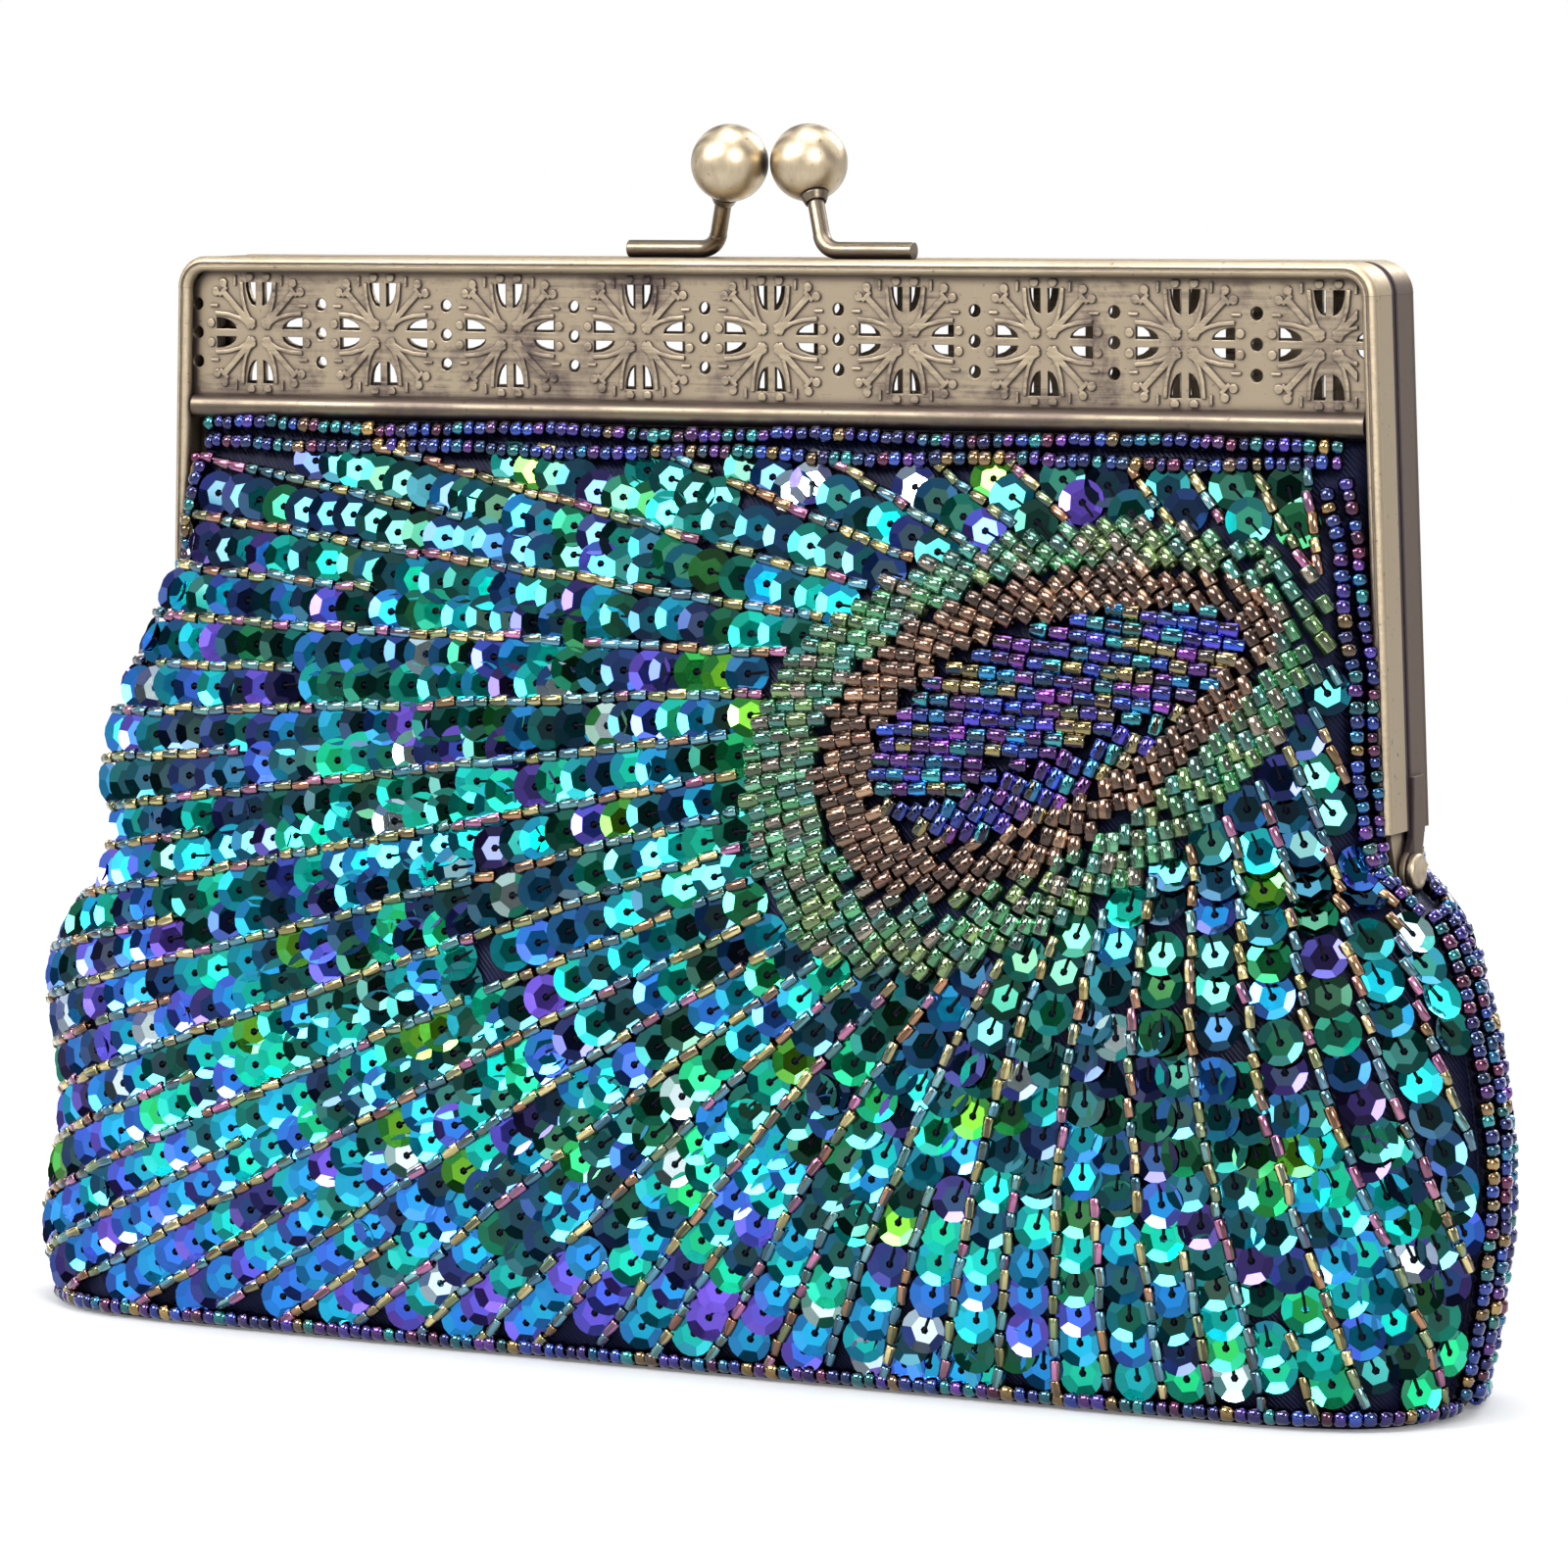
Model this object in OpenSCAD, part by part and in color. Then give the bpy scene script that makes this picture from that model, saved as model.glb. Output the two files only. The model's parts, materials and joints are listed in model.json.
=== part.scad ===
// Beaded evening bag on a sprung-ball clasp frame.
// X runs along the bag, Y from front to back and Z up, with the origin on the floor under the middle.
// The front half of the frame is drawn, and the rear half is the same parts turned half round.

/* [Frame] */
// Outer width of the frame across its top corners
frame_w = 207; // [190:1:222]
// Height from the hinge axis to the top of the frame
frame_h = 90; // [82:1:100]
// Outward lean of each leg in degrees
leg_splay = 2; // [0:0.5:3]
// Depth of one frame half from front to back
half_depth = 7.7; // [7:0.1:9]
// Gap between the two closed halves
half_gap = 0.6; // [0.4:0.1:1]
// Thickness of the frame sheet
sheet_t = 0.9; // [0.7:0.1:1.1]
// Diameter of the rolled front lip
lip_d = 2.4; // [2:0.1:2.8]
// Diameter of the fine groove along the lip
groove_d = 0.5; // [0.3:0.05:0.7]
// Width of the flange that closes the channel at the back
flange_w = 2.6; // [2:0.1:3.2]
// Outer radius of the top corners
corner_r = 5; // [4:0.5:8]

/* [Hinge] */
// Height of the hinge axis above the base
hinge_z = 80; // [74:1:90]
// Diameter of the rivet shank
rivet_d = 2.4; // [2:0.1:3]
// Diameter of the rivet head
rivet_head_d = 5.6; // [4.8:0.1:6]
// Height of the rivet head
rivet_head_h = 1.2; // [0.9:0.1:1.6]
// Rounding of the rivet head's edge
rivet_round = 0.6; // [0.3:0.1:0.8]
// Depth of the dish in the rivet head
rivet_dish = 0.35; // [0.2:0.05:0.5]
// Width of the rim round the dish
rivet_rim = 0.9; // [0.6:0.1:1.2]
// Diameter of the peened end of the rivet
rivet_tail_d = 4; // [3.6:0.1:4.6]
// Thickness of the peened end of the rivet
rivet_tail_t = 0.7; // [0.5:0.1:1]
// Diameter of the round end of each hinge tab
tab_d = 6; // [5.4:0.1:6.6]
// Width of the straight part of each hinge tab
tab_w = 4.6; // [4:0.1:5]
// Height of each leg's lower end above the hinge axis
leg_end = 6; // [5:0.5:8]
// Height that a hinge tab laps onto its leg
tab_lap = 8; // [6:0.5:10]
// Radial clearance of the rivet in its holes
rivet_play = 0.05; // [0.03:0.01:0.08]
// Sideways clearance between the layers of the hinge
layer_play = 0.3; // [0.2:0.05:0.4]

/* [Filigree plate] */
// Thickness of the pierced plate
plate_t = 0.8; // [0.6:0.1:1]
// Height of the plate between the lip and the rail
window_h = 19.5; // [18:0.5:22]
// Clearance of the plate inside the frame
plate_play = 0.1; // [0.05:0.05:0.2]
// Distance between the centres of neighbouring motifs
motif_pitch = 23.15; // [22:0.1:26]
// Distance from the left end of the plate to the first motif
motif_start = 13.8; // [11.6:0.1:16]
// Height of the stamped ridges
ridge_h = 0.35; // [0.2:0.05:0.4]
// Width of the ridges round the petals
ridge_w = 0.6; // [0.4:0.05:0.8]
// Width of the diagonal arms
arm_w = 0.95; // [0.6:0.05:1.2]
// Radius of the round bosses
boss_r = 0.68; // [0.5:0.02:0.8]
// Length of the short dashes beside the petals
dash_l = 1.5; // [1:0.1:2]
// Diameter of the round holes between motifs
hole_d = 2; // [1.6:0.1:2.4]
// Distance between the round holes of one column
hole_pitch = 4.6; // [4.2:0.1:5.6]
// Width of the stem between a petal's two openings
stem_w = 1.2; // [0.9:0.1:1.5]

/* [Rail] */
// Height of the half-round rail under the plate
rail_d = 3.9; // [3.6:0.1:5]
// Wall thickness of the rail
rail_t = 0.7; // [0.5:0.1:0.9]

/* [Clasp] */
// Diameter of each clasp ball
ball_d = 12; // [10:0.5:14]
// Height of the balls' centres above the frame
ball_rise = 14.7; // [13:0.1:18]
// Distance from the hinge plane to each ball's centre when closed
ball_cross = 1.5; // [1:0.1:2]
// Gap between the two balls as they pass
pass_gap = 0.2; // [0.1:0.05:0.4]
// Diameter of the wire of each arm
wire_d = 2.7; // [2.4:0.1:3]
// Distance along the bag from a ball's centre to the bend of its arm
bend_offset = 5.5; // [4.5:0.1:7]
// Distance along the bag from a ball's centre to the end of its foot
foot_reach = 20.8; // [18:0.2:26]
// Radius of the bend on the wire's centre line
bend_r = 3.8; // [2.8:0.1:4.2]
// Diameter of the collar where it meets its ball
collar_d = 4.4; // [4:0.1:4.8]
// Wall of the collar where it meets the wire
collar_wall = 0.3; // [0.2:0.05:0.4]
// Height of the collar under each ball
collar_h = 1.2; // [0.8:0.1:1.4]
// Depth of the socket that holds the wire in the ball
socket_h = 3; // [2:0.5:4]
// Clearance of the wire in its socket and collar
wire_play = 0.03; // [0.02:0.01:0.05]

/* [Bag] */
// Widest width of the bag
bag_w = 248; // [242:1:256]
// Deepest depth of the bag
bag_d = 54; // [50:0.5:60]
// Width of the base
base_w = 238; // [230:1:242]
// Depth of the base
base_d = 43; // [40:0.5:46]
// Depth of the bag at the rail
neck_d = 14; // [13.6:0.1:15]
// Height of the widest place
belly_z = 35; // [28:1:42]
// Squareness of the bag seen from above
squareness = 6; // [4:0.5:7]
// Squareness at the base, whose board keeps its corners
base_squareness = 14; // [8:1:16]
// Height over which the base's corners soften
corner_rise = 25; // [15:1:40]
// Thickness of the beaded outer cloth
panel_t = 1.2; // [0.9:0.1:1.4]
// Thickness of the lining
lining_t = 0.8; // [0.6:0.1:1]
// Clearance between layers of cloth
cloth_gap = 0.3; // [0.25:0.05:0.35]
// Distance from the hinge axis down to the rim of the lower body
rim_drop = 8; // [8:0.5:10]
// Distance that the upper cloth hangs below the hinge axis at its middle
hem_drop = 7.5; // [6:0.5:7.5]
// Thickness of the base cloth
base_t = 1.6; // [1.2:0.1:2]
// Thickness of the board that stiffens the base
board_t = 1.5; // [1:0.1:2]
// Width of the inner pocket
pocket_w = 100; // [80:1:120]
// Height of the inner pocket
pocket_h = 45; // [35:1:50]
// Height of the pocket's lower edge above the base
pocket_z = 18; // [12:1:20]

/* [Bead trim] */
// Diameter of the seed beads
bead_d = 2.3; // [1.8:0.1:2.6]
// Diameter of the thread through the beads
thread_d = 0.6; // [0.4:0.1:0.8]
// Gap between neighbouring beads on a thread
bead_gap = 0.1; // [0.05:0.05:0.2]

/* [Hidden] */

brass = [0.56, 0.48, 0.33];
dark_brass = [0.42, 0.36, 0.28];
satin = [0.07, 0.08, 0.26];
lining_blue = [0.05, 0.05, 0.14];
sequin_teal = [0.04, 0.50, 0.52];
bead_blue = [0.13, 0.12, 0.40];
board_grey = [0.45, 0.42, 0.38];

smooth = 64;
top_z = hinge_z + frame_h;
half_mid = (half_gap + half_depth) / 2;
front_y = -(half_gap / 2 + half_depth);
lip_r = lip_d / 2;
proud = 0.1;

// Half width of the frame's outer face at a height
function outer_x(z) = frame_w / 2 + (top_z - z) * tan(leg_splay);
hinge_x = outer_x(hinge_z);

plate_y = front_y + lip_d + plate_play;
plate_top = top_z - sheet_t - plate_play;
window_top = top_z - lip_d;
rail_top = window_top - window_h;
rail_z = rail_top - rail_d / 2;
plate_foot = rail_top - rail_d;

ball_r = ball_d / 2;
wire_r = wire_d / 2;
ball_x = ball_r + pass_gap / 2;

// Shape of the bag. s runs from -1 to 1 across it.
base_x = base_w / 2;
base_y = base_d / 2;
bag_x = bag_w / 2;
bag_y = bag_d / 2;
neck_y = neck_d / 2;
neck_z = plate_foot - cloth_gap;
rim_z = hinge_z - rim_drop;
flare = 2.2;
taper = 3;
seam_y = cloth_gap / 2;
channel_y = 3;
upper_inset = panel_t + cloth_gap;
lining_inset = upper_inset;
columns = 20;
rows = 7;

function swell(z) = sin(90 * min(1, z / belly_z));
function flare_share(z) = pow(max(0, z - belly_z) / (hinge_z - belly_z), flare);
function taper_share(z) = pow(max(0, z - belly_z) / (neck_z - belly_z), taper);
// Half width of the bag at a height below the hinge
function side_x(z) = base_x + (bag_x - base_x) * swell(z) - (bag_x - hinge_x) * flare_share(z);
// Half depth of the bag in its middle at a height
function deep_y(z) = base_y + (bag_y - base_y) * swell(z) - (bag_y - neck_y) * taper_share(z);
function squareness_at(z) =
    squareness + (base_squareness - squareness) * pow(max(0, 1 - z / corner_rise), 2);
function fold(s, z) = sqrt(max(0, 1 - pow(abs(s), squareness_at(z))));

// A point on the lower cloth, inset below its outer face. v runs from 0 at the bottom to 1 at the rim.
function lower_point(v, s, inset, low, high) =
    let (z = low + v * (high - low))
    [(side_x(z) - inset) * s, -(seam_y + (deep_y(z) - inset - seam_y) * fold(s, z)), z];

// A point on the upper cloth, which hangs between the legs and ends in a curved hem.
function leg_inner_x(z) = outer_x(z) - lip_d - cloth_gap / 2;
function upper_point(v, s, inset) =
    let (low = hinge_z - hem_drop * fold(s, hinge_z), z = low + v * (neck_z - low))
    [(leg_inner_x(z) - inset) * s,
     -(channel_y + (deep_y(z) - upper_inset - inset - channel_y) * fold(s, z)), z];

function unit(v) = v / norm(v);

// A thin sheet between two skins. skin(v, s, inset) gives its points.
module sheet(skin, inset, thick, s_low = -90, s_high = 90) {
    n = columns + 1;
    m = rows + 1;
    spots = [for (depth = [inset, inset + thick], i = [0:rows], j = [0:columns])
        skin(i / rows, sin(s_low + (s_high - s_low) * j / columns), depth)];
    function at(side, i, j) = side * m * n + i * n + j;
    function both(a, b, c, d) = [[a, b, c], [a, c, d]];
    faces = [
        for (i = [0:rows - 1], j = [0:columns - 1]) each both(
            at(0, i, j), at(0, i + 1, j), at(0, i + 1, j + 1), at(0, i, j + 1)),
        for (i = [0:rows - 1], j = [0:columns - 1]) each both(
            at(1, i, j), at(1, i, j + 1), at(1, i + 1, j + 1), at(1, i + 1, j)),
        for (j = [0:columns - 1]) each both(at(0, 0, j), at(0, 0, j + 1), at(1, 0, j + 1), at(1, 0, j)),
        for (j = [0:columns - 1]) each both(
            at(0, rows, j), at(1, rows, j), at(1, rows, j + 1), at(0, rows, j + 1)),
        for (i = [0:rows - 1]) each both(at(0, i, 0), at(1, i, 0), at(1, i + 1, 0), at(0, i + 1, 0)),
        for (i = [0:rows - 1]) each both(
            at(0, i, columns), at(0, i + 1, columns), at(1, i + 1, columns), at(1, i, columns))
    ];
    polyhedron(spots, faces, convexity = 6);
}

// A round cord along a path. aside is any direction that the path never follows.
module cord(path, r, aside, closed = false) {
    sides = 8;
    count = len(path);
    function before(i) = closed ? path[(i + count - 1) % count] : path[max(0, i - 1)];
    function after(i) = closed ? path[(i + 1) % count] : path[min(count - 1, i + 1)];
    spots = [for (i = [0:count - 1])
        let (t = unit(after(i) - before(i)), n = unit(cross(aside, t)), b = cross(t, n))
        for (k = [0:sides - 1]) path[i] + r * (n * cos(360 * k / sides) + b * sin(360 * k / sides))];
    function at(i, k) = (i % count) * sides + k % sides;
    last = closed ? count - 1 : count - 2;
    walls = [for (i = [0:last], k = [0:sides - 1]) each [
        [at(i, k), at(i + 1, k), at(i + 1, k + 1)], [at(i, k), at(i + 1, k + 1), at(i, k + 1)]]];
    caps = closed ? [] : [
        [for (k = [0:sides - 1]) at(0, k)], [for (k = [sides - 1:-1:0]) at(count - 1, k)]];
    polyhedron(spots, concat(walls, caps), convexity = 6);
}

module turned_half() {
    rotate([0, 0, 180]) children();
}

// Distance from the middle of the frame to the centre of a top corner
corner_x = outer_x(top_z - corner_r) - corner_r / cos(leg_splay);

// Section of a frame half, with X outward from the corner's centre and Y forward from the hinge plane
module frame_section(trim = 0) {
    lip_x = corner_r - lip_r + proud;
    lip_y = -front_y - lip_r;
    translate([lip_x, lip_y]) difference() {
        circle(lip_r - trim, $fn = smooth);
        translate([0, lip_r - trim]) circle(d = groove_d, $fn = 24);
    }
    translate([corner_r - sheet_t + trim, half_gap / 2 + trim])
        square([sheet_t - 2 * trim, lip_y - half_gap / 2 - trim]);
    translate([corner_r - flange_w + trim, half_gap / 2 + trim])
        square([flange_w - 2 * trim, sheet_t - 2 * trim]);
}

// The bent channel. The legs are a hair smaller than the corners, so that they join cleanly.
module frame_channel() {
    leg = (top_z - corner_r - hinge_z - leg_end) / cos(leg_splay);
    lap = 0.2;
    for (side = [0, 1]) mirror([side, 0, 0]) {
        translate([0, 0, top_z - corner_r]) rotate([90, 0, 90]) linear_extrude(corner_x)
            rotate(90) frame_section();
        translate([corner_x, 0, top_z - corner_r]) {
            rotate([90, 0, 0]) rotate(90)
                rotate_extrude(angle = leg_splay - 90, $fn = smooth) frame_section();
            rotate([0, -leg_splay, 0]) translate([0, 0, -leg]) linear_extrude(leg + lap)
                mirror([0, 1]) frame_section(0.03);
        }
    }
}

// A hinge tab seen along X: a round eye under a strap that leans onto one half
module tab_profile(lap) {
    strap_y = -half_gap / 2;
    circle(tab_d / 2, $fn = smooth);
    polygon([
        [-tab_d / 2, 0], [tab_d / 2, 0], [strap_y, leg_end - 1], [strap_y, leg_end + lap],
        [strap_y - tab_w, leg_end + lap], [strap_y - tab_w, leg_end - 1]]);
}

// A hinge tab whose inner face lies at x, for the front half
module hinge_tab(x) {
    translate([x, 0, hinge_z]) rotate([90, 0, 90]) linear_extrude(sheet_t) difference() {
        tab_profile(tab_lap);
        circle(rivet_d / 2 + rivet_play, $fn = smooth);
    }
}

outer_tab_x = hinge_x - sheet_t;
inner_tab_x = outer_tab_x - sheet_t - layer_play;

module half_frame(is_front) {
    color(brass) {
        frame_channel();
        for (side = [0, 1]) mirror([side, 0, 0]) hinge_tab(is_front ? inner_tab_x : outer_tab_x);
    }
}

// Half width of the plate at a height
function plate_x(z) = outer_x(z) - (sheet_t + plate_play) / cos(leg_splay);

module plate_outline() {
    cut = corner_r - sheet_t;
    polygon([
        [-plate_x(plate_foot), plate_foot], [-plate_x(plate_top - cut), plate_top - cut],
        [cut - plate_x(plate_top), plate_top], [plate_x(plate_top) - cut, plate_top],
        [plate_x(plate_top - cut), plate_top - cut], [plate_x(plate_foot), plate_foot]]);
}

// Sizes of a motif, which fills the window from top to bottom, less a margin for its ridges
ridge_margin = 0.3;
motif_share = window_h / 20;
petal_end = 8.3 * motif_share;
petal_w = 1.9;
petal_l = 3.9 * motif_share;
outline_gap = 0.35;
outline_reach = 2.3 * motif_share;
arm_start = 1.2;
arm_end = 9.6 * motif_share;
boss_aside = 1;
boss_rise = 0.9;
dash_w = 0.4;
dash_aside = 4.35;
dash_start = petal_end - dash_l / 3;

// A quarter of an ellipse beside the petal's stem, with its straight edge outward
function petal_curve(w, l) = [for (a = [0:22.5:90]) [stem_w / 2 + w * cos(a), petal_end - l * sin(a)]];

// One pierced opening
module petal_opening() {
    polygon(concat([[stem_w / 2, petal_end]], petal_curve(petal_w, petal_l)));
}

// The ridge that sweeps round the outside of an opening to the motif's middle, and the boss at its foot
module petal_ridge() {
    inner = petal_curve(petal_w + outline_gap, petal_l + outline_reach);
    outer = petal_curve(petal_w + outline_gap + ridge_w, petal_l + outline_reach + ridge_w);
    polygon(concat(outer, [for (i = [len(inner) - 1:-1:0]) inner[i]]));
    translate([stem_w / 2 + petal_w / 2, petal_end + boss_rise]) circle(boss_r, $fn = 16);
}

// The short dash between a petal and an arm
module dash() {
    translate([dash_aside - dash_w / 2, dash_start]) square([dash_w, dash_l]);
}

// A diagonal arm that forks to a pair of bosses
module diagonal_arm() {
    translate([-arm_w / 2, arm_start]) square([arm_w, arm_end - arm_start]);
    translate([-boss_aside, arm_end - ridge_w / 2]) square([2 * boss_aside, ridge_w]);
    for (side = [-1, 1]) translate([side * boss_aside, arm_end + boss_rise]) circle(boss_r, $fn = 16);
}

// Places one motif's children at each station along the plate
module at_motifs() {
    left = -plate_x(plate_foot);
    count = floor((2 * plate_x(plate_foot) - motif_start) / motif_pitch);
    for (i = [0:count]) translate([left + motif_start + i * motif_pitch, window_top - window_h / 2]) children();
}

module filigree_plate() {
    column_x = motif_pitch / 2;
    color(dark_brass) translate([0, plate_y + plate_t, 0]) rotate([90, 0, 0]) {
        linear_extrude(plate_t) difference() {
            plate_outline();
            at_motifs() {
                for (turn = [0:90:270], side = [0, 1]) rotate(turn) mirror([side, 0]) petal_opening();
                for (row = [-1:1]) translate([-column_x, row * hole_pitch]) circle(hole_d / 2, $fn = 24);
            }
        }
        translate([0, 0, plate_t]) linear_extrude(ridge_h) intersection() {
            half_x = plate_x(window_top) - lip_d;
            half_z = window_h / 2 - ridge_margin;
            translate([-half_x, window_top - window_h / 2 - half_z]) square([2 * half_x, 2 * half_z]);
            at_motifs() {
                for (turn = [0:90:270]) {
                    rotate(turn) for (side = [0, 1]) mirror([side, 0]) {
                        petal_ridge();
                        dash();
                    }
                    rotate(turn + 45) diagonal_arm();
                }
            }
        }
    }
}

module rail() {
    length = 2 * (outer_x(rail_top) - lip_d - plate_play);
    r = rail_d / 2;
    color(brass) translate([-length / 2, plate_y, rail_z]) rotate([0, 90, 0]) difference() {
        cylinder(r = r, h = length, $fn = smooth);
        translate([0, 0, -1]) cylinder(r = r - rail_t, h = length + 2, $fn = smooth);
        translate([-rail_d, 0, -1]) cube([2 * rail_d, rail_d, length + 2]);
    }
}

// The arm lies in a plane that leans over the hinge plane about the foot's axis.
arm_lean = atan((half_mid + ball_cross) / (ball_rise - wire_r));
arm_rise = (ball_rise - wire_r) / cos(arm_lean);
arm_turn = 90 - atan(bend_offset / arm_rise);
arm_length = norm([bend_offset, arm_rise]);
tangent = bend_r * tan(arm_turn / 2);

// Moves to the arm's corner on the frame, leaning with the arm
module at_arm() {
    translate([ball_x + bend_offset, -half_mid, top_z + wire_r]) rotate([-arm_lean, 0, 0]) children();
}

// Moves to the ball's centre, with Z along the wire towards the frame
module at_ball() {
    at_arm() translate([-bend_offset, 0, arm_rise]) rotate([0, 180 - (90 - arm_turn), 0]) children();
}

module clasp_arm() {
    color(dark_brass) {
        at_arm() {
            translate([tangent, 0, 0]) rotate([0, 90, 0])
                cylinder(r = wire_r, h = foot_reach - bend_offset - tangent, $fn = smooth);
            translate([tangent, 0, bend_r]) rotate([90, 0, 0]) rotate([0, 0, 270 - arm_turn])
                rotate_extrude(angle = arm_turn, $fn = smooth) translate([bend_r, 0]) circle(wire_r, $fn = smooth);
        }
        at_ball() translate([0, 0, ball_r - socket_h])
            cylinder(r = wire_r - 0.05, h = arm_length - tangent - (ball_r - socket_h) + 0.3, $fn = smooth);
    }
}

module clasp_collar() {
    seat = sqrt(pow(ball_r, 2) - pow(wire_r, 2)) + wire_play;
    color(brass) at_ball() translate([0, 0, seat]) difference() {
        cylinder(d1 = collar_d, d2 = wire_d + 2 * collar_wall, h = collar_h, $fn = smooth);
        translate([0, 0, -1]) cylinder(r = wire_r + wire_play, h = collar_h + 2, $fn = smooth);
    }
}

module clasp_ball() {
    color(brass) at_ball() difference() {
        sphere(ball_r, $fn = smooth);
        translate([0, 0, ball_r - socket_h - wire_play]) cylinder(r = wire_r + wire_play, h = ball_d, $fn = smooth);
    }
}

module upper_panel() {
    color(sequin_teal) sheet(function(v, s, inset) upper_point(v, s, inset), 0, panel_t);
}

module upper_lining() {
    color(lining_blue) sheet(function(v, s, inset) upper_point(v, s, inset), panel_t + cloth_gap, lining_t);
}

// Seed beads threaded on a straight line, as one turned shape
module bead_strand(length) {
    pitch = bead_d + bead_gap;
    count = floor(length / pitch);
    rotate([0, 90, 0]) rotate_extrude($fn = smooth) intersection() {
        translate([0, -length / 2]) square([bead_d, length]);
        union() {
            translate([0, -length / 2]) square([thread_d / 2, length]);
            for (i = [0:count - 1]) translate([0, (i - (count - 1) / 2) * pitch]) circle(bead_d / 2, $fn = 32);
        }
    }
}

module rail_beads() {
    color(bead_blue) for (strand = [0, 1]) {
        z = neck_z - bead_d / 2 - strand * (bead_d + cloth_gap);
        y = deep_y(z - bead_d / 2) - upper_inset + bead_d / 2 + cloth_gap;
        translate([0, -y, z]) bead_strand(2 * (leg_inner_x(z) - 2 * bead_d));
    }
}

module leg_beads() {
    rings = 12;
    lift = bead_d / 2 + cloth_gap;
    color(bead_blue) for (side = [-1, 1], share = [0.96, 0.93]) {
        path = [for (i = [0:rings]) upper_point(0.06 + 0.82 * i / rings, side * share, -lift)];
        cord(path, bead_d / 2, [0, 1, 0]);
    }
}

// A low round head with a shallow dish in its middle
module rivet_head() {
    r = rivet_head_d / 2;
    dish_w = r - rivet_rim;
    dish_r = (pow(dish_w, 2) + pow(rivet_dish, 2)) / (2 * rivet_dish);
    rotate_extrude($fn = smooth) difference() {
        union() {
            square([r - rivet_round, rivet_head_h]);
            square([r, rivet_head_h - rivet_round]);
            translate([r - rivet_round, rivet_head_h - rivet_round]) intersection() {
                circle(rivet_round, $fn = smooth);
                square(rivet_round);
            }
        }
        translate([0, rivet_head_h - rivet_dish + dish_r]) circle(dish_r, $fn = smooth);
    }
}

module hinge_rivet() {
    inner_face = inner_tab_x - layer_play;
    outer_face = hinge_x + layer_play;
    color(brass) translate([0, 0, hinge_z]) rotate([0, 90, 0]) {
        translate([0, 0, inner_face]) cylinder(d = rivet_d, h = outer_face - inner_face, $fn = smooth);
        translate([0, 0, inner_face - rivet_tail_t]) cylinder(d = rivet_tail_d, h = rivet_tail_t, $fn = smooth);
        translate([0, 0, outer_face]) rivet_head();
    }
}

// The cloth corner that joins the lower body to the hinge
module corner_gusset() {
    t = 1;
    top_y = 2.5;
    foot_y = 7;
    top_at = [hinge_x - t, hinge_z - tab_d / 2 - cloth_gap - t / 2];
    foot_at = [side_x(rim_z) - panel_t, rim_z + cloth_gap + t / 2];
    color(satin) hull() {
        translate([top_at[0], top_y, top_at[1]]) rotate([90, 0, 0]) cylinder(d = t, h = 2 * top_y, $fn = 16);
        translate([foot_at[0], foot_y, foot_at[1]]) rotate([90, 0, 0]) cylinder(d = t, h = 2 * foot_y, $fn = 16);
    }
}

module lower_panel() {
    color(sequin_teal)
        sheet(function(v, s, inset) lower_point(v, s, inset, base_t, rim_z), 0, panel_t);
}

lining_z = base_t + board_t + 2 * cloth_gap;
lining_rim = rim_z - hem_drop / 3;

module lower_lining() {
    color(lining_blue)
        sheet(function(v, s, inset) lower_point(v, s, inset, lining_z, lining_rim), lining_inset, lining_t);
}

// Plan of the bag at a height, taken in by inset
module bag_plan(z, inset) {
    steps = 20;
    polygon([for (side = [-1, 1], j = [0:steps - 1])
        let (s = sin(-90 + 180 * j / steps))
        [-side * (side_x(z) - inset) * s, side * (deep_y(z) - inset) * fold(s, z)]]);
}

module base_panel() {
    color(satin) linear_extrude(base_t) bag_plan(0, 0);
}

module base_board() {
    color(board_grey) translate([0, 0, base_t]) linear_extrude(board_t) bag_plan(0, panel_t + cloth_gap);
}

module lining_floor() {
    inset = lining_inset + lining_t + cloth_gap;
    color(lining_blue) translate([0, 0, base_t + board_t + cloth_gap]) linear_extrude(lining_t) bag_plan(0, inset);
}

// A slip pocket that follows the rear lining
module inner_pocket() {
    inset = lining_inset + lining_t + cloth_gap;
    reach = asin(pocket_w / 2 / side_x(pocket_z));
    color(lining_blue) rotate([0, 0, 180]) sheet(
        function(v, s, depth) lower_point(v, s, depth, pocket_z, pocket_z + pocket_h),
        inset, lining_t, -reach, reach);
}

module seam_beads() {
    rings = 16;
    lift = bead_d / 2 + cloth_gap;
    low = base_t + bead_d + 2 * cloth_gap;
    color(bead_blue) for (strand = [-1:1]) {
        y = strand * (bead_d + cloth_gap);
        path = [for (i = [0:rings])
            let (z = low + (rim_z - low) * i / rings)
            [side_x(z) + lift, y, z]];
        cord(path, bead_d / 2, [0, 1, 0]);
    }
}

module base_beads() {
    steps = 32;
    z = bead_d / 2 + cloth_gap;
    lift = bead_d / 2 + cloth_gap;
    skirt = base_t + bead_d;
    reach_x = max(base_x, side_x(skirt)) + lift;
    reach_y = max(base_y, deep_y(skirt)) + lift;
    path = [for (side = [1, -1], j = [0:steps - 1])
        let (s = sin(-90 + 180 * j / steps)) [side * reach_x * s, -side * reach_y * fold(s, skirt), z]];
    color(bead_blue) cord(path, bead_d / 2, [0, 0, 1], closed = true);
}

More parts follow.
